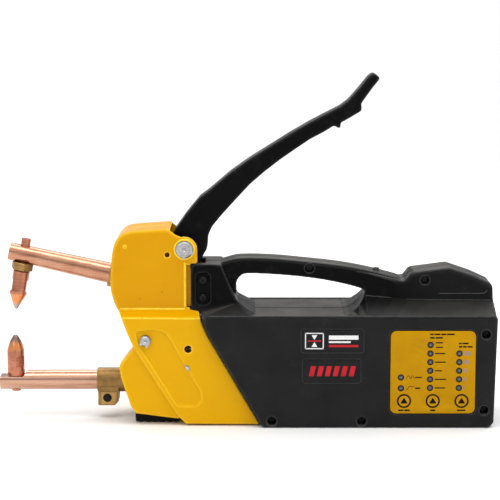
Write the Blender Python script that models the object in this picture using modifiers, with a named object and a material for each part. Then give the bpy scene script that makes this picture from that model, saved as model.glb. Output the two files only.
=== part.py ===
"""Hand-held spot welder: plastic clamshell body, pressed steel front covers, copper arms.

Frame: +X runs to the back of the welder, its arms point along -X, +Y is its right side, +Z is up.
The origin is on the ground under the middle of the whole machine. Figures below are millimetres.
"""
import math

import bmesh
import bpy
from mathutils import Matrix, Vector

MM = 0.001
GAP = 0.3                      # air between two pieces that touch

# --- driving dimensions -----------------------------------------------------------------------
BODY_HALF = 48.0               # half width of the lower case
BODY_WALL = 2.5
LEDGE_Z = 101.8                # flat floor of the handle opening
NECK_HALF = 27.0
HANDLE_HALF = 17.0
SPINE_HALF = 21.0
SPLIT = 0.15                   # each shell stops this far from the middle plane

COVER_HALF = 40.0              # half width over the lower front covers
COVER_TOP_HALF = 28.5          # half width over their upper part
NOSE_HALF = 37.0
SHEET = 1.6                    # cover thickness

LEVER_PIN = (-55.1, 160.4)     # lever axis, (X, Z)
LEVER_PIN_R = 7.3
LEVER_HALF = 13.0
ARM_PIN = (-90.5, 78.5)        # upper arm axis, (X, Z)
ARM_PIN_R = 4.2
ROLLER_REACH = 22.0            # lever axis to roller axis
ROLLER_R = 6.0
ROLLER_ANGLE = math.radians(-95)

ARM_TILT = math.radians(12.57) # upper arm above the horizontal, machine open
ARM_POINT = (-125.3, 134.4)    # a point on the upper arm's axis
ARM_R = 9.5
ARM_TIP_R = 8.15
LOWER_ARM_Z = 34.0
LOWER_ARM_R = 9.15
ELECTRODE_TILT = math.radians(9.69)
ELECTRODE_CROSS = (-203.5, 151.8)
LOWER_ELECTRODE_X = -213.0

SPRING_ANCHOR = (-52.8, 53.6)
SPRING_HOOK = (-72.0, 106.0)
SPRING_Y = -18.0

PLUNGER_X = 120.3
PLUNGER_TOP = 139.5

PANEL = (131.0, 207.6, 13.3, 89.2)           # X from, X to, Z from, Z to
LABELS = {"upper_label": (50.2, 106.8, 69.1, 91.1), "lower_label": (51.8, 104.4, 41.2, 63.6)}
LED_PITCH = 7.92
LED_LOW_Z = 36.9
KEY_Z = 24.8
KEYS = {"mode_button": 143.5, "current_button": 169.5, "timer_button": 195.5}
LED_GROUPS = {
    "mode_led_guide": [(140.5, 36.6), (140.5, 46.6)],
    "current_led_guide": [(166.8, LED_LOW_Z + LED_PITCH * i) for i in range(6)],
    "timer_led_guide": [(192.9, LED_LOW_Z + LED_PITCH * i) for i in range(5)],
}
# screw name: X, Z, how deep the head sits from the middle plane
CASE_SCREWS = {
    "case_screw_rear_upper": (217.0, 85.7, 36.0),
    "case_screw_rear_lower": (216.0, 16.0, 36.0),
    "case_screw_base_rear": (105.4, 6.0, 36.0),
    "case_screw_base_front": (24.0, 6.0, 36.0),
    "case_screw_handle": (58.4, 141.2, 9.0),
    "case_screw_spine": (163.6, 131.0, 12.0),
}
NECK_SCREWS = {"upper": (-38.4, 132.2), "lower": (-38.4, 116.1)}

# --- outlines in the X-Z plane: (x, z) or (x, z, corner radius) --------------------------------
CASE = [(-39.5, LEDGE_Z), (-36.4, 91.1), (-31.6, 81.1), (15.2, 0.0),
        (221.2, 0.0), (225.1, 4.5), (227.4, 100.0), (226.6, LEDGE_Z)]
NECK = [(-49.4, 101.0), (-49.4, 146.2, 2.0), (-21.5, 146.2), (-15.7, 131.7), (-11.2, 120.7),
        (-6.7, 111.4), (-0.3, 104.9), (6.1, 101.0)]
HANDLE = [(-30.0, 137.0), (-26.0, 145.2), (-14.2, 148.7), (-5.0, 150.6), (13.5, 150.6), (32.0, 149.6),
          (50.3, 147.8), (74.0, 145.4), (96.4, 142.2), (120.0, 137.2), (142.5, 131.2), (144.0, 112.0),
          (96.0, 112.0), (60.0, 126.0), (-5.0, 126.0), (-12.0, 110.0), (-26.0, 110.0)]
OPENING = [(16.5, LEDGE_Z), (9.8, 102.7), (3.8, 104.9), (-1.4, 108.4), (-5.3, 113.0), (-7.8, 118.6),
           (-8.6, 124.6), (-7.4, 130.4), (-4.2, 134.4), (1.5, 136.6), (22.5, 136.0), (49.9, 133.8),
           (72.7, 130.6), (91.0, 126.8), (102.9, 123.6), (107.5, 121.8), (109.0, 119.4), (107.6, 115.4),
           (104.4, 110.6), (99.8, 106.2), (94.2, 103.0), (87.5, LEDGE_Z)]
SPINE = [(100.0, 99.0), (100.0, 139.5), (120.0, 135.4), (142.5, 130.2), (146.2, 130.6), (150.8, 136.8),
         (154.0, 138.2), (185.7, 142.3), (207.0, 135.2), (225.6, 126.8), (226.9, 99.0)]

COVER_UPPER = [(-115.6, 103.0), (-119.2, 111.3), (-122.0, 121.5), (-122.5, 131.0), (-121.7, 146.3),
               (-120.0, 160.0), (-116.7, 168.7), (-110.4, 174.6), (-103.0, 176.8), (-86.0, 178.2),
               (-68.8, 179.3), (-66.1, 176.4), (-62.5, 173.7)]
COVER_LOWER = [(-112.4, 99.7), (-107.8, 86.8), (-101.8, 72.5), (-63.0, 10.5), (-59.5, 6.6),
               (-54.0, 1.2), (13.4, 0.8), (-33.6, 82.0), (-38.0, 91.4), (-40.9, 99.7)]
NOSE = [(-101.8, 76.0), (-103.3, 68.4), (-106.5, 65.7), (-113.8, 55.5), (-114.8, 53.6),
        (-113.1, 43.4), (-109.5, 32.2), (-104.2, 16.4), (-99.7, 10.3), (-59.6, 5.1), (-58.0, 12.0),
        (-95.0, 76.0)]
NOSE_STEP = [(-130.0, 38.0), (-112.2, 38.0), (-110.8, 39.0), (-106.5, 49.8), (-103.3, 52.6), (-93.0, 57.8),
             (-102.1, 72.3), (-103.6, 76.5), (-130.0, 76.5)]    # the right side's nose is lower by this

LEVER = [(-64.6, 175.6), (-54.4, 190.0), (-41.5, 205.7), (-32.4, 212.4), (-14.0, 228.2), (4.2, 241.1),
         (22.5, 252.5), (40.7, 263.9), (58.8, 274.4), (77.0, 283.9), (86.0, 288.5), (93.3, 293.9),
         (104.0, 306.2), (111.2, 315.2), (114.8, 317.9), (117.1, 317.9), (121.7, 313.8),
         (114.1, 304.2), (106.1, 293.0), (104.7, 290.7), (105.2, 286.2), (104.4, 284.0),
         (94.5, 278.1), (85.5, 273.1), (86.9, 269.5), (84.6, 268.2), (80.6, 271.3), (72.0, 265.9),
         (58.5, 258.7), (45.0, 249.6), (31.4, 240.1), (17.8, 229.6), (4.2, 217.8), (-9.4, 203.1),
         (-23.0, 188.0), (-30.4, 178.8), (-34.0, 170.5), (-34.5, 161.3), (-35.4, 157.6),
         (-38.2, 153.0), (-40.6, 147.5), (-45.0, 142.0), (-51.5, 135.8), (-54.0, 134.0),
         (-57.0, 133.6), (-60.0, 134.6), (-61.7, 137.5), (-61.6, 141.0), (-63.5, 148.0),
         (-66.4, 154.0), (-67.4, 162.0), (-66.4, 170.0)]

# --- materials: colour, roughness, metallic -----------------------------------------------------
FINISHES = {
    "black_plastic": ((0.018, 0.018, 0.020), 0.48, 0.0),
    "yellow_paint": ((0.77, 0.42, 0.0), 0.30, 0.0),
    "panel_film": ((0.60, 0.32, 0.01), 0.45, 0.0),
    "label_film": ((0.02, 0.02, 0.02), 0.40, 0.0),
    "key_film": ((0.02, 0.015, 0.01), 0.40, 0.0),
    "led_lens": ((0.10, 0.05, 0.02), 0.25, 0.0),
    "circuit_board": ((0.02, 0.20, 0.08), 0.50, 0.0),
    "core_steel": ((0.20, 0.21, 0.23), 0.45, 1.0),
    "coil_wire": ((0.45, 0.16, 0.05), 0.35, 0.3),
    "bare_copper": ((0.80, 0.42, 0.30), 0.30, 1.0),
    "arm_copper": ((0.86, 0.52, 0.40), 0.28, 1.0),
    "electrode_copper": ((0.55, 0.20, 0.11), 0.35, 1.0),
    "cast_brass": ((0.42, 0.30, 0.14), 0.40, 1.0),
    "zinc_steel": ((0.60, 0.61, 0.63), 0.30, 1.0),
    "black_steel": ((0.03, 0.03, 0.03), 0.40, 0.6),
    "heat_sink_metal": ((0.55, 0.56, 0.58), 0.40, 1.0),
    "module_plastic": ((0.05, 0.05, 0.06), 0.50, 0.0),
    "rubber": ((0.012, 0.012, 0.012), 0.75, 0.0),
    "insulator": ((0.30, 0.16, 0.07), 0.55, 0.0),
}


# --- helpers -------------------------------------------------------------------------------------
def clear_scene():
    for obj in list(bpy.data.objects):
        bpy.data.objects.remove(obj, do_unlink=True)


def new_collection(name):
    collection = bpy.data.collections.new(name)
    bpy.context.scene.collection.children.link(collection)
    return collection


def make_materials():
    for name, (colour, roughness, metallic) in FINISHES.items():
        material = bpy.data.materials.new(name)
        material.use_nodes = True
        shader = material.node_tree.nodes["Principled BSDF"]
        shader.inputs["Base Color"].default_value = (*colour, 1.0)
        shader.inputs["Roughness"].default_value = roughness
        shader.inputs["Metallic"].default_value = metallic


def rounded(corners, steps=3):
    """The outline with each (x, z, radius) corner turned into an arc."""
    points = []
    for index, corner in enumerate(corners):
        here = Vector(corner[:2])
        if len(corner) < 3:
            points.append(here)
            continue
        before = (Vector(corners[index - 1][:2]) - here).normalized()
        after = (Vector(corners[(index + 1) % len(corners)][:2]) - here).normalized()
        half = before.angle(after) / 2
        centre = here + (before + after).normalized() * corner[2] / math.sin(half)
        start = here + before * corner[2] / math.tan(half) - centre
        end = here + after * corner[2] / math.tan(half) - centre
        sweep = -start.angle_signed(end)
        points += [centre + Matrix.Rotation(sweep * i / steps, 2) @ start for i in range(steps + 1)]
    return points


def smoothed(corners, first, last, steps=2):
    """The outline with its run from corner first to corner last bent into a smooth curve through them."""
    points = []
    count = len(corners)
    for index, corner in enumerate(corners):
        points.append(corner)
        if not first <= index < last:
            continue
        a, b, c, d = (Vector(corners[(index + i) % count][:2]) for i in (-1, 0, 1, 2))
        if index == first:
            a = b * 2 - c
        if index + 1 == last:
            d = c * 2 - b
        for step in range(1, steps):
            t = step / steps
            points.append(tuple(0.5 * (b * 2 + (c - a) * t + (a * 2 - b * 5 + c * 4 - d) * t * t
                                       + (b * 3 - a - c * 3 + d) * t ** 3)))
    return points


def arc(centre, radius, from_deg, to_deg, steps):
    """Points on a circle about centre, both ends included."""
    angles = [math.radians(from_deg + (to_deg - from_deg) * i / steps) for i in range(steps + 1)]
    return [(centre[0] + radius * math.cos(a), centre[1] + radius * math.sin(a)) for a in angles]


def mesh_object(name, mesh):
    obj = bpy.data.objects.new(name, mesh)
    PARTS.objects.link(obj)
    return obj


# An outline's plane: its two axes and the axis that it is extruded along.
PLANES = {
    "x": Matrix(((0, 0, 1), (1, 0, 0), (0, 1, 0))),
    "y": Matrix(((1, 0, 0), (0, 0, -1), (0, 1, 0))),
    "z": Matrix(((1, 0, 0), (0, 1, 0), (0, 0, 1))),
}


def prism(name, corners, axis, low, high, bevel=0.0, segments=2):
    """A flat outline, extruded along axis from low to high, with its rims bevelled."""
    curve = bpy.data.curves.new(name, "CURVE")
    curve.dimensions = "2D"
    curve.fill_mode = "BOTH"
    curve.extrude = (high - low) / 2 * MM
    spline = curve.splines.new("POLY")
    points = rounded(corners)
    spline.points.add(len(points) - 1)
    for point, (u, v) in zip(spline.points, points):
        point.co = (u * MM, v * MM, 0.0, 1.0)
    spline.use_cyclic_u = True
    guide = bpy.data.objects.new(name + "_outline", curve)
    PARTS.objects.link(guide)
    turn = PLANES[axis]
    middle = (low + high) / 2 * MM * (-1 if axis == "y" else 1)
    place = turn.to_4x4() @ Matrix.Translation((0, 0, middle))
    evaluated = guide.evaluated_get(bpy.context.evaluated_depsgraph_get())
    mesh = bpy.data.meshes.new_from_object(evaluated)
    bpy.data.objects.remove(guide, do_unlink=True)
    shape = bmesh.new()
    shape.from_mesh(mesh)
    bmesh.ops.remove_doubles(shape, verts=shape.verts, dist=0.00001)
    bmesh.ops.dissolve_limit(shape, angle_limit=0.001, verts=shape.verts, edges=shape.edges)
    shape.transform(place)
    bmesh.ops.recalc_face_normals(shape, faces=shape.faces)
    shape.to_mesh(mesh)
    shape.free()
    obj = mesh_object(name, mesh)
    if bevel:
        rims = obj.modifiers.new("rims", "BEVEL")
        rims.width = bevel * MM
        rims.segments = segments
        rims.limit_method = "ANGLE"
        rims.angle_limit = math.radians(50)
    return obj


def block(name, low, high, bevel=0.0, segments=2):
    """A box between two corners."""
    x0, y0, z0 = low
    x1, y1, z1 = high
    return prism(name, [(x0, y0), (x1, y0), (x1, y1), (x0, y1)], "z", z0, z1, bevel, segments)


def hull(name, points):
    """The smallest convex solid round the points."""
    shape = bmesh.new()
    for x, y, z in points:
        shape.verts.new((x * MM, y * MM, z * MM))
    found = bmesh.ops.convex_hull(shape, input=shape.verts)
    loose = [item for item in found["geom_interior"] if isinstance(item, bmesh.types.BMVert)]
    bmesh.ops.delete(shape, geom=loose, context="VERTS")
    bmesh.ops.dissolve_limit(shape, angle_limit=0.001, verts=shape.verts, edges=shape.edges)
    bmesh.ops.recalc_face_normals(shape, faces=shape.faces)
    mesh = bpy.data.meshes.new(name)
    shape.to_mesh(mesh)
    shape.free()
    return mesh_object(name, mesh)


def loft(name, sections):
    """A solid through cross-sections that all have the same number of (x, y, z) points."""
    shape = bmesh.new()
    rings = [[shape.verts.new(Vector(point) * MM) for point in section] for section in sections]
    shape.faces.new(rings[0])
    shape.faces.new(rings[-1])
    for near, far in zip(rings, rings[1:]):
        for i in range(len(near)):
            j = (i + 1) % len(near)
            shape.faces.new((near[i], near[j], far[j], far[i]))
    bmesh.ops.triangulate(shape, faces=shape.faces)
    bmesh.ops.recalc_face_normals(shape, faces=shape.faces)
    mesh = bpy.data.meshes.new(name)
    shape.to_mesh(mesh)
    shape.free()
    return mesh_object(name, mesh)


def rod(name, start, end, radius, sides=16, end_radius=None):
    """A cylinder or a cone between two points."""
    start, end = Vector(start) * MM, Vector(end) * MM
    along = end - start
    shape = bmesh.new()
    bmesh.ops.create_cone(shape, cap_ends=True, segments=sides, radius1=radius * MM,
                          radius2=(radius if end_radius is None else end_radius) * MM,
                          depth=along.length)
    shape.transform(Matrix.Translation((start + end) / 2) @ along.to_track_quat("Z", "X").to_matrix().to_4x4())
    mesh = bpy.data.meshes.new(name)
    shape.to_mesh(mesh)
    shape.free()
    return mesh_object(name, mesh)


def turned(name, start, direction, profile, steps=16):
    """A profile of (distance, radius) pairs spun about the line from start along direction."""
    mesh = bpy.data.meshes.new(name)
    points = [(radius * MM, 0.0, distance * MM) for distance, radius in reversed(profile)]
    mesh.from_pydata(points, [(i, i + 1) for i in range(len(points) - 1)], [])
    obj = mesh_object(name, mesh)
    screw = obj.modifiers.new("turn", "SCREW")
    screw.axis = "Z"
    screw.steps = steps
    screw.render_steps = steps
    screw.use_merge_vertices = True
    screw.merge_threshold = 0.00002
    turn = Vector(direction).to_track_quat("Z", "X").to_matrix().to_4x4()
    obj.matrix_world = Matrix.Translation(Vector(start) * MM) @ turn
    return obj


def ring_profile(length, outer, inner):
    """The closed profile of a plain tube, for turned()."""
    return [(0, inner), (0, outer), (length, outer), (length, inner), (0, inner)]


def settle(obj):
    """Fix the object's modifiers and place into its mesh, so that other objects can build on it."""
    bpy.context.view_layer.update()
    mesh = bpy.data.meshes.new_from_object(obj.evaluated_get(bpy.context.evaluated_depsgraph_get()))
    mesh.transform(obj.matrix_world)
    obj.modifiers.clear()
    obj.data = mesh
    obj.matrix_world = Matrix.Identity(4)
    return obj


def boolean(obj, others, operation):
    for other in others:
        settle(other)
        for collection in list(other.users_collection):
            collection.objects.unlink(other)
        TOOLS.objects.link(other)
        other.hide_render = True
        other.display_type = "WIRE"
        step = obj.modifiers.new(operation.lower(), "BOOLEAN")
        step.operation = operation
        step.object = other
        step.solver = "EXACT"


def cut(obj, *others):
    boolean(obj, others, "DIFFERENCE")
    return obj


def cluster(name, objects):
    """Several separate solids as one object, to cut or join with in one step."""
    shape = bmesh.new()
    for obj in objects:
        settle(obj)
        shape.from_mesh(obj.data)
        bpy.data.objects.remove(obj, do_unlink=True)
    mesh = bpy.data.meshes.new(name)
    shape.to_mesh(mesh)
    shape.free()
    return mesh_object(name, mesh)


def join(obj, *others):
    boolean(obj, others, "UNION")
    return obj


def finish(obj, material, smooth_deg=35):
    """Material and shading; the object keeps any modifiers that it has."""
    settle(obj)
    obj.data.materials.clear()
    obj.data.materials.append(bpy.data.materials[material])
    obj.data.shade_smooth()
    obj.data.set_sharp_from_angle(angle=math.radians(smooth_deg))
    return obj


def pivot(name, place, children):
    """An empty on a joint's axis that carries the pieces that turn about it or slide with it."""
    empty = bpy.data.objects.new(name, None)
    PARTS.objects.link(empty)
    empty.location = Vector(place) * MM
    bpy.context.view_layer.update()
    for child in children:
        child.parent = empty
        child.matrix_parent_inverse = empty.matrix_world.inverted()
    return empty


def copy_of(obj, name):
    twin = bpy.data.objects.new(name, obj.data.copy())
    PARTS.objects.link(twin)
    return twin


def mirrored(corners, half):
    """3-D points on both sides of the middle plane from (x, y, z) points on one."""
    return [(x, sign * (y if y else half), z) for x, y, z in corners for sign in (1, -1)]


def across(name, place, radius, low, high, sides=16):
    """A cylinder along Y at an (x, z) place."""
    return rod(name, (place[0], low, place[1]), (place[0], high, place[1]), radius, sides)


# --- plastic body --------------------------------------------------------------------------------
def shoulder_rear():
    """The sloping shoulder between the case's side and the spine: the slope's top line falls, then runs level."""
    sections = []
    for x, top, half in ((90.0, 100.4, 40.0), (96.0, 106.0, 29.0), (103.0, 112.6, 22.0), (110.0, 116.8, 20.0),
                         (122.0, 115.8, 20.0), (136.0, 114.6, 20.0), (150.0, 113.7, 20.0), (170.0, 113.0, 20.0),
                         (226.2, 112.6, 20.0)):
        edge = LEDGE_Z + 0.3
        profile = [(47.0, 99.0), (47.0, edge), (half, max(top, edge + 0.05))]
        sections.append([(x, y, z) for y, z in profile] + [(x, -y, z) for y, z in reversed(profile)])
    return loft("shoulder_rear_form", sections)


def spine_taper(wall):
    """Cutters that draw the spine's sides in to the handle's width, or its hollow's sides a wall further in."""
    cutters = []
    for side in (-1, 1):
        line = [(138.0, 21.01), (128.0, 20.2), (112.0, 17.6), (90.0, 16.4)]
        corners = [(90.0, side * 30), (138.0, side * 30)] + [(x, side * (y - wall)) for x, y in line]
        cutters.append(prism("spine_taper", corners[::-side], "z", 80, 170))
    return cutters


def body_solid():
    """The whole outer form of the two shells, as one solid."""
    body = prism("body_form", CASE, "y", -BODY_HALF, BODY_HALF, 1.6)
    rear = shoulder_rear()
    front = hull("shoulder_front", mirrored([
        (-38.4, 46.6, 98.0), (8.0, 46.6, 98.0), (-39.0, 46.9, 101.9), (4.2, 46.9, 102.4),
        (-40.6, 26.0, 102.6), (-6.6, 26.0, 111.8), (9.5, 30.0, 101.5)], 0))
    neck = prism("neck_form", NECK, "y", -NECK_HALF, NECK_HALF, 1.5)
    handle = prism("handle_form", smoothed(HANDLE, 1, 10), "y", -HANDLE_HALF, HANDLE_HALF, 4.2, 3)
    spine = prism("spine_form", SPINE, "y", -SPINE_HALF, SPINE_HALF, 3.0)
    cut(spine, *spine_taper(0.0))
    join(body, rear, front, settle(spine), neck, handle)
    cut(body, prism("opening_cut", smoothed(OPENING, 0, 21), "y", -60, 60))
    return settle(body)


def body_hollow():
    """Everything inside the shells that is air."""
    case = prism("case_hollow", [(-36.0, 99.3), (-33.2, 90.2), (-28.6, 80.6), (17.2, 2.5), (220.0, 2.5),
                                 (222.6, 5.4), (224.8, 99.3)], "y", -BODY_HALF + BODY_WALL,
                 BODY_HALF - BODY_WALL)
    spine = prism("spine_hollow", [(112.6, 97.0), (112.6, 124.0), (108.0, 128.0), (106.0, 137.4),
                                   (118.0, 133.2), (142.5, 127.6), (147.4, 127.8), (152.4, 134.4),
                                   (185.7, 139.6), (206.2, 132.6), (223.1, 125.0), (224.2, 97.0)],
                  "y", -SPINE_HALF + BODY_WALL, SPINE_HALF - BODY_WALL)
    handle = prism("handle_hollow", [(-30.0, 139.4), (-29.0, 143.4), (-14.0, 145.8), (-5.0, 147.9),
                                     (13.5, 147.9), (50.3, 145.1), (96.4, 139.5), (116.0, 133.6),
                                     (114.0, 124.4), (91.0, 129.6), (72.7, 133.4), (49.9, 136.6),
                                     (22.5, 138.8), (0.0, 139.4)],
                   "y", -HANDLE_HALF + 3.0, HANDLE_HALF - 3.0)
    neck = prism("neck_hollow", [(-60.0, 96.0), (-60.0, 143.6), (-24.0, 143.6), (-18.4, 131.0),
                                 (-14.0, 120.0), (-10.0, 111.4), (-5.0, 104.0), (-3.0, 96.0)],
                 "y", -NECK_HALF + BODY_WALL, NECK_HALF - BODY_WALL)
    mouth = block("neck_mouth", (-60, -15, 132), (-37, 15, 152))
    window = prism("front_window", [(-60, 95), (-24, 95), (24, 12), (-12, 12)], "y", -36, 36)
    cut(spine, *spine_taper(BODY_WALL))
    air = join(case, settle(spine), handle, neck, mouth, window)
    air.name = "body_hollow"
    return settle(air)


def screw_posts(side):
    """The hollow posts inside one shell that its screws run through; side is -1 left, 1 right."""
    posts, bores = [], []
    for name, (x, z, depth) in CASE_SCREWS.items():
        reach = BODY_HALF - 1 if z < LEDGE_Z else HANDLE_HALF - 1
        posts.append(across(name + "_post", (x, z), 5.2, *sorted((side * SPLIT, side * reach)), 10))
        bores.append(across(name + "_bore", (x, z), 2.4, *sorted((side * -1, side * (depth + 1))), 8))
        if side < 0:
            bores.append(across(name + "_mouth", (x, z), 4.2, -60, -depth, 12))
    return posts, bores


def panel_seat():
    x0, x1, z0, z1 = PANEL
    edge = 0.5
    corners = [(x0 - edge, z0 - edge, 5.0), (x1 + edge, z0 - edge, 5.0), (x1 + edge, z1 + edge, 5.0),
               (x0 - edge, z1 + edge, 5.0)]
    seat = prism("panel_seat", corners, "y", -60, -46.6)
    window = prism("panel_window", [(x0 + 3, z0 + 3), (x1 - 3, z0 + 3), (x1 - 3, z1 - 3), (x0 + 3, z1 - 3)],
                   "y", -60, -40)
    return [seat, window]


def body_shells():
    form = body_solid()
    air = body_hollow()
    cut(form, air)
    x_rear = 225.1
    cut(form,
        rod("inlet_seat", (x_rear, 0, 50), (x_rear + 10, 0, 50), 12.4, 24),
        rod("inlet_hole", (x_rear - 20, 0, 50), (x_rear + 10, 0, 50), 9.0, 20),
        rod("plunger_hole", (PLUNGER_X, 0, 126), (PLUNGER_X, 0, 150), 3.4, 16))
    settle(form)
    shells = []
    for name, side in (("left_body_shell", -1), ("right_body_shell", 1)):
        shell = copy_of(form, name)
        cut(shell, block(name + "_split", (-80, min(side * SPLIT, -side * 80), -20),
                         (260, max(side * SPLIT, -side * 80), 200)))
        settle(shell)
        posts, bores = screw_posts(side)
        join(shell, *posts)
        cut(shell, *bores)
        recess = prism(name + "_screw_recess", [(-44.9, 109.4, 5), (-31.9, 109.4, 5), (-31.9, 139.0, 5),
                                                (-44.9, 139.0, 5)], "y", *sorted((side * 25.6, side * 40)))
        cut(shell, recess)
        for label, place in NECK_SCREWS.items():
            cut(shell, across(name + "_" + label, place, 2.4, *sorted((side * 15, side * 40)), 12))
        if side < 0:
            cut(shell, *panel_seat())
            for label, (x0, x1, z0, z1) in LABELS.items():
                cut(shell, prism(label + "_seat", [(x0, z0, 3), (x1, z0, 3), (x1, z1, 3), (x0, z1, 3)],
                                 "y", -60, -47.4))
        finish(shell, "black_plastic", 30)
        shells.append(shell)
    bpy.data.objects.remove(form, do_unlink=True)
    return shells


def labels():
    for name, (x0, x1, z0, z1) in LABELS.items():
        g = GAP
        finish(prism(name, [(x0 + g, z0 + g, 3), (x1 - g, z0 + g, 3), (x1 - g, z1 - g, 3), (x0 + g, z1 - g, 3)],
                     "y", -47.95, -47.6), "label_film")


def control_panel():
    x0, x1, z0, z1 = PANEL
    panel = prism("control_panel", [(x0, z0, 5), (x1, z0, 5), (x1, z1, 5), (x0, z1, 5)], "y", -47.9, -46.9)
    holes = [across("led_hole", place, 2.9, -60, -40, 10) for places in LED_GROUPS.values() for place in places]
    holes += [across("key_hole", (x, KEY_Z), 6.3, -60, -40, 18) for x in KEYS.values()]
    cut(panel, cluster("panel_holes", holes))
    finish(panel, "panel_film")

    for name, places in LED_GROUPS.items():
        xs = places[0][0]
        bar = block(name, (xs - 3.0, -45.6, places[0][1] - 3.4), (xs + 3.0, -43.4, places[-1][1] + 3.4))
        posts = [across("%s_post_%d" % (name, i), place, 2.5, -47.95, -45.0, 10)
                 for i, place in enumerate(places)]
        finish(join(bar, *posts), "led_lens")

    for name, x in KEYS.items():
        profile = [(0, 0), (0, 2.0), (3.0, 2.0), (3.0, 6.8), (4.0, 6.8), (4.0, 5.8), (5.7, 5.8), (5.9, 5.5),
                   (5.9, 0)]
        key = turned(name, (x, -42.1, KEY_Z), (0, -1, 0), profile, 16)
        finish(key, "key_film")
        pivot(name + "_slide", (x, -48, KEY_Z), [key])

    finish(block("control_board", (129, -40.8, 8), (210, -39.2, 95)), "circuit_board")


def body_screws():
    for name, (x, z, depth) in CASE_SCREWS.items():
        tip = 8.0 if depth > 20 else 6.0
        head = -depth - 2.4
        profile = [(0, 0), (0, 3.5), (0.4, 3.8), (2.1, 3.8), (2.1, 2.0), (tip - head - 1, 2.0),
                   (tip - head, 1.2), (tip - head, 0)]
        finish(turned(name, (x, head, z), (0, 1, 0), profile, 10), "black_steel")
    for side, word in ((-1, "left"), (1, "right")):
        for level, (x, z) in NECK_SCREWS.items():
            profile = [(0, 0), (0, 3.0), (0.4, 3.4), (2.6, 3.4), (2.6, 2.0), (11.0, 2.0), (11.0, 0)]
            screw = turned("neck_screw_%s_%s" % (word, level), (x, side * 28.9, z), (0, -side, 0), profile, 10)
            finish(screw, "black_steel")


def inlet_grommet():
    profile = [(0, 5.0), (0, 8.7), (6.9, 8.7), (6.9, 12.0), (7.6, 12.0), (8.0, 11.6), (8.0, 5.6), (7.6, 5.0),
               (0, 5.0)]
    finish(turned("cable_inlet_grommet", (218.2, 0, 50), (1, 0, 0), profile, 18), "rubber")


# --- inside the body -----------------------------------------------------------------------------
def transformer():
    core = block("transformer_core", (45, -20, 12), (125, 20, 94), 0.8, 1)
    cut(core, block("core_window_front", (58, -30, 26), (72, 30, 80)),
        block("core_window_rear", (98, -30, 26), (112, 30, 80)))
    finish(core, "core_steel")

    coil = prism("primary_coil", [(59.2, -34, 9), (110.8, -34, 9), (110.8, 34, 9), (59.2, 34, 9)], "z", 28, 62)
    cut(coil, block("coil_hole", (71.5, -20.6, 20), (98.5, 20.6, 70)))
    finish(coil, "coil_wire")

    turn = prism("secondary_turn", [(20, -33), (110.8, -33), (110.8, 33), (20, 33), (20, 21), (98.6, 21),
                                    (98.6, -21), (20, -21)], "z", 65, 77)
    finish(turn, "bare_copper")

    bar = prism("lower_bus_bar", [(42, 64.7), (42, 53.0), (2, 53.0), (-40, 26), (-95, 26), (-95, 42), (-44, 42),
                                  (-6, 64.7)], "y", -33, -20.9)
    finish(bar, "bare_copper")

    shunt = prism("flexible_shunt", [(42, 68.5), (42, 73.5), (1, 73.5), (-31.5, 86), (-50.5, 97.5),
                                     (-67, 119.5), (-80, 119.5), (-80, 114.5), (-64.5, 114.5), (-47, 93),
                                     (-29, 81), (2, 68.5)], "y", 12, 20.5)
    finish(shunt, "bare_copper")


def electronics():
    fins = []
    for index in range(7):
        x = 138 + index * 9
        fins += [(x, 33), (x, 44), (x + 3, 44), (x + 3, 33)]
    finish(prism("heat_sink", [(136, 30), (136, 33)] + fins + [(197, 33), (197, 30)], "z", 18, 82),
           "heat_sink_metal")
    finish(block("thyristor_module", (148, 14, 30), (186, 29.7, 62), 1.0, 1), "module_plastic")
    finish(block("microswitch", (113.5, -5.2, 112.5), (131, 5.2, 123.6), 0.6, 1), "module_plastic")
    plunger = turned("switch_plunger", (PLUNGER_X, 0, PLUNGER_TOP), (0, 0, -1),
                     [(0, 0), (0, 2.4), (0.5, 2.9), (8.9, 2.9), (8.9, 4.4), (10.1, 4.4), (10.1, 2.0),
                      (12.1, 2.0), (12.1, 0)], 12)
    finish(plunger, "module_plastic")
    pivot("switch_plunger_slide", (PLUNGER_X, 0, PLUNGER_TOP), [plunger])


# --- front covers --------------------------------------------------------------------------------
def cover_form():
    boss = arc(LEVER_PIN, 12.0, 104, 0, 9)
    side_view = smoothed(COVER_UPPER, 0, 10, 3) + boss + [(-43.1, 147.0), (-49.9, 147.0), (-49.9, 103.0)]
    upper = prism("cover_upper_form", side_view, "y", -COVER_TOP_HALF, COVER_TOP_HALF, 2.4, 3)
    flare = hull("flare_form", mirrored([
        (-115.8, COVER_TOP_HALF, 105.3), (-50.0, COVER_TOP_HALF, 105.3), (-42.2, 31.5, 103.8),
        (-112.3, COVER_HALF, 99.4), (-40.8, COVER_HALF, 99.4), (-111.2, COVER_HALF, 97.0),
        (-40.2, COVER_HALF, 97.0)], 0))
    lower = prism("cover_lower_form", COVER_LOWER, "y", -COVER_HALF, COVER_HALF, 1.8, 2)
    nose = prism("nose_form", NOSE, "y", -NOSE_HALF, NOSE_HALF, 1.8, 2)
    return settle(join(upper, flare, lower, nose))


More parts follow.
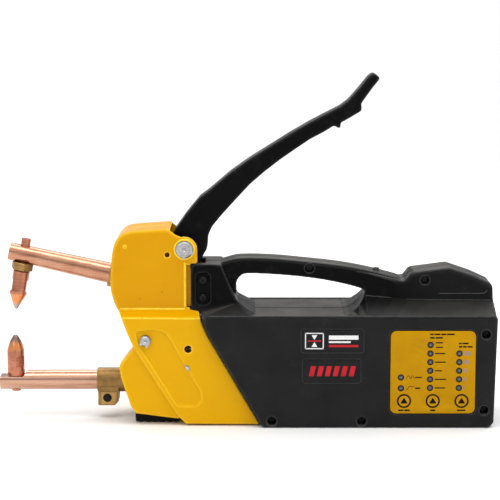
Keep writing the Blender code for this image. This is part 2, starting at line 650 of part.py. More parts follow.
def cover_hollow():
    t = SHEET
    upper = prism("cover_upper_hollow", [
        (-113.8, 100.0), (-117.6, 111.8), (-120.4, 121.7), (-120.9, 131.0), (-120.1, 146.1), (-118.4, 159.6),
        (-115.3, 167.8), (-109.8, 173.0), (-102.8, 175.2), (-86.0, 176.6), (-66.0, 177.8), (-66.0, 190.0),
        (-30.0, 190.0), (-30.0, 100.0)], "y", -COVER_TOP_HALF + t, COVER_TOP_HALF - t)
    flare = hull("flare_hollow", mirrored([
        (-113.6, COVER_TOP_HALF - t, 104.4), (-30.0, COVER_TOP_HALF - t, 104.4), (-110.8, COVER_HALF - t, 98.9),
        (-30.0, COVER_HALF - t, 98.9), (-110.6, COVER_HALF - t, 97.0), (-30.0, COVER_HALF - t, 97.0)], 0))
    lower = prism("cover_lower_hollow", [
        (-110.7, 100.0), (-106.2, 87.3), (-100.2, 73.2), (-61.8, 11.5), (-58.4, 7.8), (-53.3, 2.8), (60.0, 2.8),
        (60.0, 98.8)], "y", -COVER_HALF + t, COVER_HALF - t)
    nose = prism("nose_hollow", [
        (-98.0, 74.0), (-101.9, 67.8), (-105.2, 64.8), (-112.4, 54.8), (-113.2, 53.4), (-111.5, 43.8),
        (-107.9, 32.7), (-102.8, 17.2), (-98.9, 11.9), (-58.0, 6.6), (-50.0, 12.0), (-90.0, 74.0)],
        "y", -NOSE_HALF + t, NOSE_HALF - t)
    return settle(join(upper, flare, lower, nose))


def front_covers():
    form = cover_form()
    cut(form, cover_hollow(), block("arm_slot", (-140, -17, 13), (-94, 17, 152)),
        block("neck_room", (-49.9, -27.6, 98), (-30, 27.6, 106)))
    settle(form)
    for name, side in (("left_front_cover", -1), ("right_front_cover", 1)):
        cover = copy_of(form, name)
        cut(cover, block(name + "_split", (-140, min(side * SPLIT, -side * 80), -20),
                         (60, max(side * SPLIT, -side * 80), 200)))
        step = sorted((side * 20.9, side * 27.9))
        behind = sorted((side * 22.9, side * 30.0))
        join(cover, block(name + "_step", (-54.8, step[0], 106.6), (-53.2, step[1], 142)))
        join(cover, prism(name + "_tongue", [(-54.1, 107.0), (-30.0, 107.0), (-30.0, 141.4), (-49.8, 141.4),
                                             (-49.8, 148.8), (-54.1, 148.8)],
                          "y", *sorted((side * 21.2, side * 22.7))))
        cut(cover, block(name + "_behind", (-53.4, behind[0], 107.2), (-44.0, behind[1], 146.3)))
        if side > 0:
            cut(cover, prism("nose_step", NOSE_STEP, "y", 5, NOSE_HALF + 0.2))
        ends = sorted((side * 15, side * 60))
        cut(cover, across(name + "_lever_hole", LEVER_PIN, LEVER_PIN_R + 0.3, *ends, 18),
            across(name + "_arm_hole", ARM_PIN, ARM_PIN_R + 0.3, *ends, 18),
            across(name + "_upper_hole", (-70.8, 155.4), 2.3, *ends, 14),
            across(name + "_lower_hole", (-51.8, 70.7), 3.4, *ends, 16),
            across(name + "_anchor_hole", SPRING_ANCHOR, 2.0, *ends, 12))
        for level, place in NECK_SCREWS.items():
            cut(cover, across("%s_%s_hole" % (name, level), place, 2.3, *ends, 12))
        finish(cover, "yellow_paint", 30)
    bpy.data.objects.remove(form, do_unlink=True)


def front_foot():
    wave = []
    ribs = 6
    length = 39.4
    for index in range(ribs):
        x = -61.0 - length * index / ribs
        pitch = length / ribs
        wave += [(x, 0.0), (x - pitch * 0.62, 0.0), (x - pitch * 0.70, 1.0), (x - pitch * 0.92, 1.0)]
    top = [(-100.6, 0.0), (-101.0, 8.0), (-100.2, 9.7), (-61.0, 4.7)]
    finish(prism("front_foot", wave + top, "y", -26, 26, 0, 1), "rubber")


# --- arms, electrodes and their carriers ----------------------------------------------------------
ARM_ALONG = Vector((-math.cos(ARM_TILT), 0, math.sin(ARM_TILT)))
ELECTRODE_ALONG = Vector((-math.sin(ELECTRODE_TILT), 0, -math.cos(ELECTRODE_TILT)))


def on_arm(x):
    """The point of the upper arm's axis at an X."""
    return Vector((x, 0, ARM_POINT[1] + (ARM_POINT[0] - x) * math.tan(ARM_TILT)))


def lower_arm_parts():
    z = LOWER_ARM_Z
    holder = rod("lower_arm_holder", (-137.4, 0, z), (-103.0, 0, z), 11.3, 20)
    join(holder, block("holder_base", (-104, -20.5, 19.5), (-62, 20.5, 48), 2.0, 2),
         prism("holder_ear", [(-136.4, 28), (-136.4, 11.6), (-120.9, 11.6), (-117.4, 15.4), (-117.4, 28)],
               "y", -10.5, 10.5))
    cut(holder, rod("holder_bore", (-150, 0, z), (-72, 0, z), LOWER_ARM_R + 0.15, 20),
        block("holder_slit", (-150, -1.0, 0), (-110, 1.0, z - 4)),
        across("ear_bore", (-127.6, 19.2), 3.2, -20, 20, 14),
        across("ear_seat", (-127.6, 19.2), 4.6, -20, -6.4, 16))
    finish(holder, "cast_brass")
    profile = [(0, 0), (0, 3.8), (0.4, 4.2), (4.4, 4.2), (4.4, 2.8), (17.5, 2.8), (17.5, 0)]
    finish(turned("lower_clamp_screw", (-127.6, -11.1, 19.2), (0, 1, 0), profile, 18), "black_steel")

    arm = turned("lower_arm", (-74.0, 0, z), (-1, 0, 0),
                 [(0, 0), (0, LOWER_ARM_R - 0.6), (0.6, LOWER_ARM_R), (152.6, LOWER_ARM_R),
                  (153.3, LOWER_ARM_R - 0.9), (153.3, 0)], 20)
    flat = prism("arm_flat_cut", [(-240, 38.1), (-205.9, 38.1), (-201.6, 43.6), (-201.6, 50), (-240, 50)], "y",
                 -20, 20)
    cut(arm, flat, rod("arm_electrode_hole", (LOWER_ELECTRODE_X, 0, 0), (LOWER_ELECTRODE_X, 0, 60), 4.6, 16))
    finish(arm, "arm_copper")

    profile = [(0, 0), (0, 3.6), (0.5, 4.2), (14.6, 4.2), (14.6, 7.4), (15.2, 7.8), (39.0, 7.9), (46.5, 5.2),
               (51.6, 2.4), (52.6, 1.4), (52.8, 0)]
    finish(turned("lower_electrode", (LOWER_ELECTRODE_X, 0, 23.8), (0, 0, 1), profile, 16), "electrode_copper")


def pad_offset():
    """How far behind the arm pin the carrier's cam pad stands, so that the roller always clears it."""
    clear = []
    for step in range(12):
        share = step / 11
        angle = ROLLER_ANGLE - math.radians(44) * share
        x = LEVER_PIN[0] + ROLLER_REACH * math.cos(angle) - ARM_PIN[0]
        z = LEVER_PIN[1] + ROLLER_REACH * math.sin(angle) - ARM_PIN[1]
        back = math.radians(11) * share
        clear.append(x * math.cos(back) + z * math.sin(back) - ROLLER_R - 0.5)
    return min(clear)


def upper_arm_parts():
    pad = ARM_PIN[0] + pad_offset()
    plate = [(-112, 124), (-110, 138), (-86, 139.5), (pad - 4, 143.5), (pad, 142.0), (pad, 125.0), (-70.5, 112),
             (-77, 94), (-80.6, 82)]
    plate += arc(ARM_PIN, 10.0, 0, -180, 8) + [(-100.2, 82), (-103, 95), (-110, 115)]
    carrier = prism("upper_arm_carrier", plate, "y", -10, 10, 1.0, 1)
    socket = rod("arm_socket", on_arm(-125.0), on_arm(-84.0), 12.4, 20)
    hook = across("spring_hook", SPRING_HOOK, 2.0, SPRING_Y - 3.5, -9, 10)
    seat = across("shunt_seat", (-73.5, 117.0), 5.5, 9, 11.6, 14)
    screw_at = on_arm(-100.0)
    up = Vector((math.sin(ARM_TILT), 0, math.cos(ARM_TILT)))
    screw_boss = rod("clamp_boss", screw_at + up * 8, screw_at + up * 15.5, 6.5, 16)
    join(carrier, socket, hook, seat, screw_boss)
    cut(carrier, rod("socket_bore", on_arm(-150.0), on_arm(-86.0), ARM_R + 0.15, 20),
        across("carrier_bore", ARM_PIN, 6.3, -20, 20, 20),
        rod("clamp_bore", screw_at, screw_at + up * 30, 3.3, 14))
    finish(carrier, "cast_brass")

    profile = [(0, 0), (0, 3.0), (8.0, 3.0), (8.0, 5.0), (12.6, 5.0), (13.0, 4.6), (13.0, 0)]
    clamp = finish(turned("upper_clamp_screw", screw_at + up * (ARM_R + 0.4), up, profile, 16), "black_steel")

    start = on_arm(-86.6)
    length = (start.x + 216.8) / math.cos(ARM_TILT)
    straight = (start.x + 129.0) / math.cos(ARM_TILT)
    arm = turned("upper_arm", start, ARM_ALONG,
                 [(0, 0), (0, ARM_R - 0.6), (0.6, ARM_R), (straight, ARM_R), (length - 0.8, ARM_TIP_R),
                  (length, ARM_TIP_R - 0.8), (length, 0)], 20)
    cross = Vector((ELECTRODE_CROSS[0], 0, ELECTRODE_CROSS[1]))
    spot = rod("arm_spot_face", cross + ELECTRODE_ALONG * 7.0, cross + ELECTRODE_ALONG * 20, 11.2, 24)
    cut(arm, rod("arm_cross_hole", cross - ELECTRODE_ALONG * 30, cross + ELECTRODE_ALONG * 30, 4.6, 16), spot)
    finish(arm, "arm_copper")

    shank = 14.7
    profile = [(0, 0), (0, 3.8), (0.5, 4.2), (shank + 15.4, 4.2), (shank + 15.4, 7.2), (shank + 16.0, 7.6),
               (shank + 33.0, 7.6), (shank + 34.0, 7.9), (shank + 37.2, 7.9), (shank + 44.2, 4.6),
               (shank + 50.8, 2.0), (shank + 51.6, 1.2), (shank + 51.8, 0)]
    electrode = finish(turned("upper_electrode", cross - ELECTRODE_ALONG * shank, ELECTRODE_ALONG, profile, 16),
                       "electrode_copper")
    nut = rod("electrode_nut", cross + ELECTRODE_ALONG * 7.3, cross + ELECTRODE_ALONG * 14.7, 10.4, 6)
    cut(nut, rod("nut_bore", cross, cross + ELECTRODE_ALONG * 30, 4.5, 16))
    finish(nut, "cast_brass")

    bush = turned("arm_pivot_bush", (ARM_PIN[0], -10.0, ARM_PIN[1]), (0, 1, 0), ring_profile(20, 6.0, 4.5), 20)
    finish(bush, "insulator")
    pivot("upper_arm_hinge", (ARM_PIN[0], 0, ARM_PIN[1]), [carrier, clamp, arm, electrode, nut, bush])


# --- lever and pins --------------------------------------------------------------------------------
def lever_parts():
    lever = prism("lever", LEVER, "y", -LEVER_HALF, LEVER_HALF, 2.4, 1)
    roller_x = LEVER_PIN[0] + ROLLER_REACH * math.cos(ROLLER_ANGLE)
    roller_z = LEVER_PIN[1] + ROLLER_REACH * math.sin(ROLLER_ANGLE)
    place = (roller_x, roller_z)
    cut(lever, across("lever_bore", LEVER_PIN, LEVER_PIN_R + 0.3, -20, 20, 18),
        across("roller_room", place, ROLLER_R + 0.9, -5, 5, 20),
        block("roller_slot", (-70, -5, 128), (-50.4, 5, roller_z)),
        across("roller_pin_bore", place, 2.8, -20, 20, 14))
    finish(lever, "black_plastic", 30)
    roller = turned("cam_roller", (roller_x, -4.6, roller_z), (0, 1, 0), ring_profile(9.2, ROLLER_R, 2.8), 20)
    finish(roller, "zinc_steel")
    pin = across("roller_pin", place, 2.5, -12.0, 12.0, 14)
    finish(pin, "zinc_steel")
    pivot("lever_hinge", (LEVER_PIN[0], 0, LEVER_PIN[1]), [lever, pin])
    pivot("roller_hinge", (roller_x, 0, roller_z), [roller])


def clip(name, place, radius, y, thickness, lug_deg):
    """An E-shaped clip round a pin, with two lugs either side of lug_deg."""
    band = arc(place, radius + 1.5, lug_deg + 24, lug_deg + 336, 14)
    band += arc(place, radius + 0.35, lug_deg + 336, lug_deg + 24, 14)
    obj = prism(name, band, "y", y, y + thickness)
    for sign in (-1, 1):
        angle = math.radians(lug_deg + sign * 34)
        lug = (place[0] + (radius + 1.7) * math.cos(angle), place[1] + (radius + 1.7) * math.sin(angle))
        join(obj, across("%s_lug_%d" % (name, sign + 1), lug, 1.2, y, y + thickness, 8))
    return finish(obj, "zinc_steel")


def pins():
    x, z = LEVER_PIN
    r = LEVER_PIN_R
    profile = [(0, 0), (0, r - 0.8), (0.5, r - 0.3), (0.9, r - 0.3), (0.9, r - 1.1), (2.1, r - 1.1), (2.1, r - 0.3),
               (60.3, r - 0.3), (60.3, r + 1.8), (62.2, r + 1.8), (62.7, r + 1.3), (62.7, 0)]
    finish(turned("lever_pivot_pin", (x, -31.4, z), (0, 1, 0), profile, 18), "zinc_steel")
    clip("lever_pin_clip", LEVER_PIN, r - 1.1, -30.3, 0.9, -60)

    x, z = ARM_PIN
    r = ARM_PIN_R
    profile = [(0, 0), (0, r - 0.5), (0.4, r), (0.8, r), (0.8, r - 0.8), (1.9, r - 0.8), (1.9, r), (83.0, r),
               (83.0, r + 2.0), (84.6, r + 2.0), (85.0, r + 1.6), (85.0, 0)]
    finish(turned("arm_pivot_pin", (x, -42.7, z), (0, 1, 0), profile, 16), "zinc_steel")
    clip("arm_pin_clip", ARM_PIN, r - 0.8, -41.75, 0.8, -110)

    for side, word in ((-1, "left"), (1, "right")):
        low = min(side * (LEVER_HALF + 0.4), side * (COVER_TOP_HALF - SHEET - 0.3))
        length = COVER_TOP_HALF - SHEET - LEVER_HALF - 0.7
        spacer = turned("lever_spacer_" + word, (LEVER_PIN[0], low, LEVER_PIN[1]), (0, 1, 0),
                        ring_profile(length, 10.0, LEVER_PIN_R), 14)
        finish(spacer, "zinc_steel")
        low = min(side * 10.5, side * (COVER_HALF - SHEET - 0.4))
        length = COVER_HALF - SHEET - 10.9
        spacer = turned("arm_spacer_" + word, (ARM_PIN[0], low, ARM_PIN[1]), (0, 1, 0),
                        ring_profile(length, 6.5, ARM_PIN_R + 0.3), 12)
        finish(spacer, "zinc_steel")

    finish(across("spring_anchor_pin", SPRING_ANCHOR, 1.7, -41.0, 41.0, 12), "zinc_steel")


def return_spring():
    """A tension spring: close coils between two straight stubs, in the plane Y = SPRING_Y."""
    from_pin = 2.6
    start = Vector((SPRING_ANCHOR[0], 0, SPRING_ANCHOR[1]))
    end = Vector((SPRING_HOOK[0], 0, SPRING_HOOK[1]))
    along = (end - start).normalized()
    side = Vector((0, 1, 0))
    out = along.cross(side)
    length = (end - start).length
    turns, per_turn, radius = 8, 7, 3.6
    low, high = 8.0, length - 8.0
    middle = start + Vector((0, SPRING_Y, 0))
    points = [middle + along * from_pin]
    for index in range(turns * per_turn + 1):
        angle = 2 * math.pi * index / per_turn
        height = low + (high - low) * index / (turns * per_turn)
        points.append(middle + along * height + (side * math.cos(angle) + out * math.sin(angle)) * radius)
    points.append(middle + along * (length - from_pin))
    curve = bpy.data.curves.new("return_spring", "CURVE")
    curve.dimensions = "3D"
    curve.bevel_depth = 0.7 * MM
    curve.bevel_resolution = 1
    curve.use_fill_caps = True
    spline = curve.splines.new("POLY")
    spline.points.add(len(points) - 1)
    for point, place in zip(spline.points, points):
        point.co = (*(place * MM), 1.0)
    wire = bpy.data.objects.new("spring_wire", curve)
    PARTS.objects.link(wire)
    mesh = bpy.data.meshes.new_from_object(wire.evaluated_get(bpy.context.evaluated_depsgraph_get()))
    bpy.data.objects.remove(wire, do_unlink=True)
    shape = bmesh.new()
    shape.from_mesh(mesh)
    bmesh.ops.remove_doubles(shape, verts=shape.verts, dist=0.00001)
    shape.to_mesh(mesh)
    shape.free()
    finish(mesh_object("return_spring", mesh), "zinc_steel")


clear_scene()
PARTS = new_collection("spot_welder")
TOOLS = new_collection("cutters")
make_materials()
body_shells()
labels()
control_panel()
body_screws()
inlet_grommet()
transformer()
electronics()
front_covers()
front_foot()
lower_arm_parts()
upper_arm_parts()
lever_parts()
pins()
return_spring()
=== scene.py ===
"""Looks for the spot welder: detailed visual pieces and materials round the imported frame.

Frame: +X runs to the back of the welder, +Y is its right side, +Z is up. Figures are millimetres
unless a name says otherwise; an object's mesh holds its place, in metres.
"""
import math

import bmesh
import bpy
from mathutils import Matrix, Vector


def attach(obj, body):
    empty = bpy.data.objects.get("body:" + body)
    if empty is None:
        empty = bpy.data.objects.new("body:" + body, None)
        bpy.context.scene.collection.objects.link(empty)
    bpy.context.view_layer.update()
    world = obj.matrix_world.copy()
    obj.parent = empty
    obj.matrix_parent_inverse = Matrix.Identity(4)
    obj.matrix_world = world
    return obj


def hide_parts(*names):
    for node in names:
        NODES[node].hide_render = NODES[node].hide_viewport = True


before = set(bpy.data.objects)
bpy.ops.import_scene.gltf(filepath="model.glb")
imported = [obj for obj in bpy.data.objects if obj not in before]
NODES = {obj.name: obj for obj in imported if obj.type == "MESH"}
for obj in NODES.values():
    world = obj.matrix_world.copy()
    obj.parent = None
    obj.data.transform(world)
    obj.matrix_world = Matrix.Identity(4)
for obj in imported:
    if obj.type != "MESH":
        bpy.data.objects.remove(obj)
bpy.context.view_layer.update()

MM = 0.001
COVER_HALF = 40.0                # half widths over the covers' lower and upper plates
COVER_TOP_HALF = 28.5
HUMP_HALF = 21.1
LEVER_PIN = (-55.1, 160.4)       # X and Z of the cross pins and of the clamp's screw
ARM_PIN = (-90.5, 78.5)
CLAMP_SCREW = (-127.6, 19.2)
ARM_RADIUS = 9.5
LOWER_ARM_RADIUS = 9.15
SHANK_RADIUS = 4.2               # the electrodes' shanks and the holes they stand in
SHANK_HOLE = 4.5
ARM_TILT = math.radians(12.57)
ARM_POINT = (-125.3, 134.4)      # X and Z of a point on the upper arm's axis
ELECTRODE_TILT = math.radians(9.69)
ELECTRODE_CROSS = Vector((-203.5, 0.0, 151.8))
LOWER_ARM_Z = 34.0
LOWER_ELECTRODE_X = -213.0
ARM_ALONG = Vector((-math.cos(ARM_TILT), 0, math.sin(ARM_TILT)))
ELECTRODE_ALONG = Vector((-math.sin(ELECTRODE_TILT), 0, -math.cos(ELECTRODE_TILT)))
LABELS = {                       # X from and to, Z from and to
    "upper_label": (50.2, 106.8, 69.1, 91.1),
    "lower_label": (51.8, 104.4, 41.2, 63.6),
}
LED_PITCH = 7.92
LED_LOW_Z = 36.9
ROW_Z = [LED_LOW_Z + LED_PITCH * i for i in range(6)]     # the lamps of the two long rows, from the lowest
LED_GROUPS = {
    "mode_led_guide": [(140.5, 36.6), (140.5, 46.6)],
    "current_led_guide": [(166.8, z) for z in ROW_Z],
    "timer_led_guide": [(192.9, z) for z in ROW_Z[:5]],
}
KEY_Z = 24.8
KEYS = {"mode_button": 143.5, "current_button": 169.5, "timer_button": 195.5}
CASE_SCREWS = {                  # X, Z and how far the head's seat is from the middle plane
    "case_screw_rear_upper": (217.0, 85.7, 36.0),
    "case_screw_rear_lower": (216.0, 16.0, 36.0),
    "case_screw_base_rear": (105.4, 6.0, 36.0),
    "case_screw_base_front": (24.0, 6.0, 36.0),
    "case_screw_handle": (58.4, 141.2, 9.0),
    "case_screw_spine": (163.6, 131.0, 12.0),
}
NECK_SCREWS = {"upper": (-38.4, 132.2), "lower": (-38.4, 116.1)}


# --- mesh helpers ------------------------------------------------------------------------------
def new_object(name, mesh):
    obj = bpy.data.objects.new(name, mesh)
    bpy.context.scene.collection.objects.link(obj)
    return obj


def from_bmesh(name, shape):
    mesh = bpy.data.meshes.new(name)
    bmesh.ops.recalc_face_normals(shape, faces=shape.faces)
    shape.to_mesh(mesh)
    shape.free()
    return new_object(name, mesh)


def settle(obj):
    """Applies an object's modifiers to its mesh."""
    bpy.context.view_layer.update()
    mesh = bpy.data.meshes.new_from_object(obj.evaluated_get(bpy.context.evaluated_depsgraph_get()))
    mesh.transform(obj.matrix_world)
    obj.modifiers.clear()
    obj.data = mesh
    obj.matrix_world = Matrix.Identity(4)
    return obj


def bevel(obj, width, segments=3, angle=32):
    """Rounds the edges sharper than angle."""
    rims = obj.modifiers.new("rims", "BEVEL")
    rims.width = width * MM
    rims.segments = segments
    rims.limit_method = "ANGLE"
    rims.angle_limit = math.radians(angle)
    rims.use_clamp_overlap = True
    return settle(obj)


def smooth(obj, angle=35):
    obj.data.shade_smooth()
    obj.data.set_sharp_from_angle(angle=math.radians(angle))
    return obj


def rounded(corners, steps=6):
    """The outline with each (u, v, radius) corner turned into an arc."""
    points = []
    for index, corner in enumerate(corners):
        here = Vector(corner[:2])
        if len(corner) < 3:
            points.append(here)
            continue
        before = (Vector(corners[index - 1][:2]) - here).normalized()
        after = (Vector(corners[(index + 1) % len(corners)][:2]) - here).normalized()
        half = before.angle(after) / 2
        centre = here + (before + after).normalized() * corner[2] / math.sin(half)
        start = here + before * corner[2] / math.tan(half) - centre
        end = here + after * corner[2] / math.tan(half) - centre
        sweep = -start.angle_signed(end)
        points += [centre + Matrix.Rotation(sweep * i / steps, 2) @ start for i in range(steps + 1)]
    return points


AXES = {"x": ((0, 1, 0), (0, 0, 1), (1, 0, 0)), "y": ((1, 0, 0), (0, 0, 1), (0, 1, 0)),
        "z": ((1, 0, 0), (0, 1, 0), (0, 0, 1))}


def prism(name, corners, low, high, axis="y", taper=0.0):
    """A flat outline, extruded along axis from low to high; taper draws the high end in."""
    u, v, w = (Vector(a) for a in AXES[axis])
    shape = bmesh.new()
    points = [Vector(p) for p in rounded(corners)]
    middle = sum(points, Vector((0, 0))) / len(points)
    rings = []
    for height, draw in ((low, 0.0), (high, taper)):
        ring = []
        for point in points:
            inward = middle - point
            at = point + inward.normalized() * min(draw, inward.length * 0.5)
            ring.append(shape.verts.new((u * at.x + v * at.y + w * height) * MM))
        rings.append(ring)
    count = len(points)
    shape.faces.new(rings[0])
    shape.faces.new(rings[1])
    for i in range(count):
        j = (i + 1) % count
        shape.faces.new((rings[0][i], rings[0][j], rings[1][j], rings[1][i]))
    return from_bmesh(name, shape)


def box(name, low, high):
    return prism(name, [(low[0], low[1]), (high[0], low[1]), (high[0], high[1]), (low[0], high[1])],
                 low[2], high[2], "z")


def lathe(name, start, direction, profile, steps=64):
    """(distance, radius) pairs spun about the line from start.

    A profile that ends where it starts gives a closed ring.
    """
    start, direction = Vector(start) * MM, Vector(direction).normalized()
    side = direction.orthogonal().normalized()
    other = direction.cross(side)
    closed = profile[0] == profile[-1]
    pairs = profile[:-1] if closed else profile
    shape = bmesh.new()
    rings = []
    for distance, radius in pairs:
        centre = start + direction * distance * MM
        if radius < 1e-6:
            rings.append([shape.verts.new(centre)])
            continue
        ring = []
        for i in range(steps):
            angle = 2 * math.pi * i / steps
            spoke = side * math.cos(angle) + other * math.sin(angle)
            ring.append(shape.verts.new(centre + spoke * radius * MM))
        rings.append(ring)
    last = len(rings) if closed else len(rings) - 1
    for index in range(last):
        a, b = rings[index], rings[(index + 1) % len(rings)]
        for i in range(steps):
            j = (i + 1) % steps
            corners = [a[i % len(a)], a[j % len(a)], b[j % len(b)], b[i % len(b)]]
            unique = list(dict.fromkeys(corners))
            if len(unique) > 2:
                shape.faces.new(unique)
    return from_bmesh(name, shape)


def rod(name, start, direction, length, radius, steps=64):
    return lathe(name, start, direction, [(0, 0), (0, radius), (length, radius), (length, 0)], steps)


def tube(name, start, direction, length, inner, outer, steps):
    profile = [(0, inner), (0, outer), (length, outer), (length, inner), (0, inner)]
    return lathe(name, start, direction, profile, steps)


def cut(obj, tool):
    """Takes the tool's shape out of the object, and the tool out of the scene."""
    step = obj.modifiers.new("cut", "BOOLEAN")
    step.operation = "DIFFERENCE"
    step.object = tool
    step.solver = "EXACT"
    settle(obj)
    bpy.data.objects.remove(tool, do_unlink=True)


def cluster(name, objects):
    """Several overlapping closed solids as one object."""
    shape = bmesh.new()
    for obj in objects:
        shape.from_mesh(obj.data)
        bpy.data.objects.remove(obj, do_unlink=True)
    return from_bmesh(name, shape)


def soften(name, solids, voxel, rounds, keep):
    """One moulded skin over overlapping solids, its corners rounded as a mould or a press rounds them.

    The skin is made at the voxel size, relaxed so many rounds, and thinned to the share of faces to keep.
    """
    obj = cluster(name, solids)
    scale = 1.0
    remesh = obj.modifiers.new("skin", "REMESH")
    remesh.mode = "VOXEL"
    remesh.voxel_size = voxel * MM * scale
    relax = obj.modifiers.new("relax", "SMOOTH")
    relax.factor = 0.5
    relax.iterations = rounds
    thin = obj.modifiers.new("thin", "DECIMATE")
    thin.ratio = keep
    settle(obj)
    return smooth(obj, 55)


def cad_copy(node):
    """A welded copy of a CAD node's mesh, free to be changed."""
    obj = new_object(node + "_copy", NODES[node].data.copy())
    shape = bmesh.new()
    shape.from_mesh(obj.data)
    bmesh.ops.remove_doubles(shape, verts=shape.verts, dist=0.000002)
    bmesh.ops.recalc_face_normals(shape, faces=shape.faces)
    shape.to_mesh(obj.data)
    shape.free()
    return obj


def dress(obj, material, body="housing", replaces=()):
    """The object's material, the body it rides on, and the CAD nodes it stands for."""
    obj.data.materials.clear()
    obj.data.materials.append(MATERIALS[material])
    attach(obj, body)
    if replaces:
        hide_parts(*replaces)
    return obj


# --- materials -----------------------------------------------------------------------------------
COLOUR_A, COLOUR_B, COLOUR_RESULT = 6, 7, 2     # places of the Mix node's colour sockets


class Recipe:
    """Node building in a few words; coordinates are the piece's own, in metres."""

    def __init__(self, name, metallic=0.0, **sockets):
        self.material = bpy.data.materials.new(name)
        self.material.use_nodes = True
        self.tree = self.material.node_tree
        self.shader = self.tree.nodes["Principled BSDF"]
        self.shader.inputs["Metallic"].default_value = metallic
        for socket, value in sockets.items():
            self.shader.inputs[socket.replace("_", " ")].default_value = value
        self.coords = self.tree.nodes.new("ShaderNodeTexCoord").outputs["Object"]
        self.height = None

    def node(self, kind, **values):
        made = self.tree.nodes.new("ShaderNode" + kind)
        for key, value in values.items():
            setattr(made, key, value)
        return made

    def link(self, source, target):
        self.tree.links.new(source, target)

    def noise(self, scale, detail=4.0, roughness=0.55, stretch=(1, 1, 1), turn=(0, 0, 0), distortion=0.0):
        place = self.node("Mapping")
        place.inputs["Scale"].default_value = stretch
        place.inputs["Rotation"].default_value = turn
        self.link(self.coords, place.inputs["Vector"])
        texture = self.node("TexNoise")
        texture.inputs["Scale"].default_value = scale
        texture.inputs["Detail"].default_value = detail
        texture.inputs["Roughness"].default_value = roughness
        texture.inputs["Distortion"].default_value = distortion
        self.link(place.outputs["Vector"], texture.inputs["Vector"])
        return texture.outputs["Fac"]

    def spots(self, scale):
        texture = self.node("TexVoronoi")
        texture.inputs["Scale"].default_value = scale
        self.link(self.coords, texture.inputs["Vector"])
        return texture.outputs["Distance"]

    def ramp(self, value, low, high, out_low=0.0, out_high=1.0):
        made = self.node("MapRange")
        ends = {"From Min": low, "From Max": high, "To Min": out_low, "To Max": out_high}
        for socket, number in ends.items():
            made.inputs[socket].default_value = number
        self.link(value, made.inputs["Value"])
        return made.outputs["Result"]

    def math(self, operation, a, b):
        made = self.node("Math", operation=operation)
        for socket, value in zip(made.inputs, (a, b)):
            if isinstance(value, (int, float)):
                socket.default_value = value
            else:
                self.link(value, socket)
        return made.outputs["Value"]

    def mix(self, factor, a, b):
        made = self.node("Mix", data_type="RGBA")
        self.link(factor, made.inputs["Factor"])
        for index, value in ((COLOUR_A, a), (COLOUR_B, b)):
            if isinstance(value, tuple):
                made.inputs[index].default_value = (*value, 1.0)
            else:
                self.link(value, made.inputs[index])
        return made.outputs[COLOUR_RESULT]

    def axis(self, name):
        split = self.node("SeparateXYZ")
        self.link(self.coords, split.inputs["Vector"])
        return split.outputs[name]

    def worn_and_highlit_edges(self, low=0.51, high=0.56):
        """1 on convex edges, broken up by a fine noise; it marks wear, and edges painted pale as painted
        highlight.
        """
        geometry = self.node("NewGeometry")
        edge = self.ramp(geometry.outputs["Pointiness"], low, high)
        return self.math("MULTIPLY", edge, self.ramp(self.noise(260, 5), 0.30, 0.55, 0.5, 1.0))

    def upward_painted_light(self):
        """Painted light: 1 on surfaces that look straight up, which are painted paler as if lit from above,
        and nothing on a slope over 30 degrees.
        """
        split = self.node("SeparateXYZ")
        self.link(self.node("NewGeometry").outputs["Normal"], split.inputs["Vector"])
        level = self.ramp(split.outputs["Z"], 0.86, 1.0)
        patches = self.ramp(self.noise(45, 5), 0.2, 0.6, 0.6, 1.0)
        return self.math("MULTIPLY", level, self.math("MULTIPLY", level, patches))

    def colour(self, value):
        self.link(value, self.shader.inputs["Base Color"])

    def rough(self, value, low, high):
        self.link(self.ramp(value, 0.3, 0.7, low, high), self.shader.inputs["Roughness"])

    def bump(self, value, strength, distance):
        made = self.node("Bump")
        made.inputs["Strength"].default_value = strength
        made.inputs["Distance"].default_value = distance
        self.link(value, made.inputs["Height"])
        if self.height is not None:
            self.link(self.height, made.inputs["Normal"])
        self.height = made.outputs["Normal"]
        self.link(self.height, self.shader.inputs["Normal"])


# One pale grey for the dust film and for the painted light on upward faces.
DUST_AND_SHEEN = (0.12, 0.115, 0.105)


def moulded(name, colour, light, roughness, grain=2600, strength=0.35, shade_above_shoulder=False):
    """Textured black plastic: spark-eroded grain, paler convex edges, which are painted highlight with a
    little wear, and a little dust in patches.

    Its last flag adds painted shade, darker above the shoulder and darkest on the neck and the handle in
    front of the hump, and painted light, paler on the faces that look up.
    """
    r = Recipe(name, Specular_IOR_Level=0.06)
    patches = r.noise(28, 5)
    tone = r.mix(r.ramp(patches, 0.35, 0.65), colour, tuple(c * 1.35 for c in colour))
    if shade_above_shoulder:
        # Painted shade: darker above the shoulder, darkest on the neck and the handle in front of the hump.
        upper = r.ramp(r.axis("Z"), 0.104, 0.112)
        tone = r.mix(upper, tone, tuple(c * 0.68 for c in colour))
        neck_and_handle_shade = r.math("MULTIPLY", upper, r.ramp(r.axis("X"), 0.175, 0.130))
        tone = r.mix(neck_and_handle_shade, tone, tuple(c * 0.16 for c in colour))
        # Painted light: the upward faces painted paler, in patches.
        tone = r.mix(r.math("MULTIPLY", r.upward_painted_light(), 0.66), tone, DUST_AND_SHEEN)
    # Painted highlight with a little wear: convex edges painted toward the light colour.
    tone = r.mix(r.math("MULTIPLY", r.worn_and_highlit_edges(0.505, 0.545), 0.6), tone, light)
    film = r.math("MULTIPLY", r.ramp(r.noise(70, 6, 0.7), 0.55, 0.78), 0.06)
    r.colour(r.mix(film, tone, DUST_AND_SHEEN))
    r.rough(r.noise(55, 4), roughness - 0.06, roughness + 0.08)
    r.bump(r.spots(grain), strength, 0.00004)
    r.bump(r.noise(900, 3), strength * 0.7, 0.00003)
    return r.material


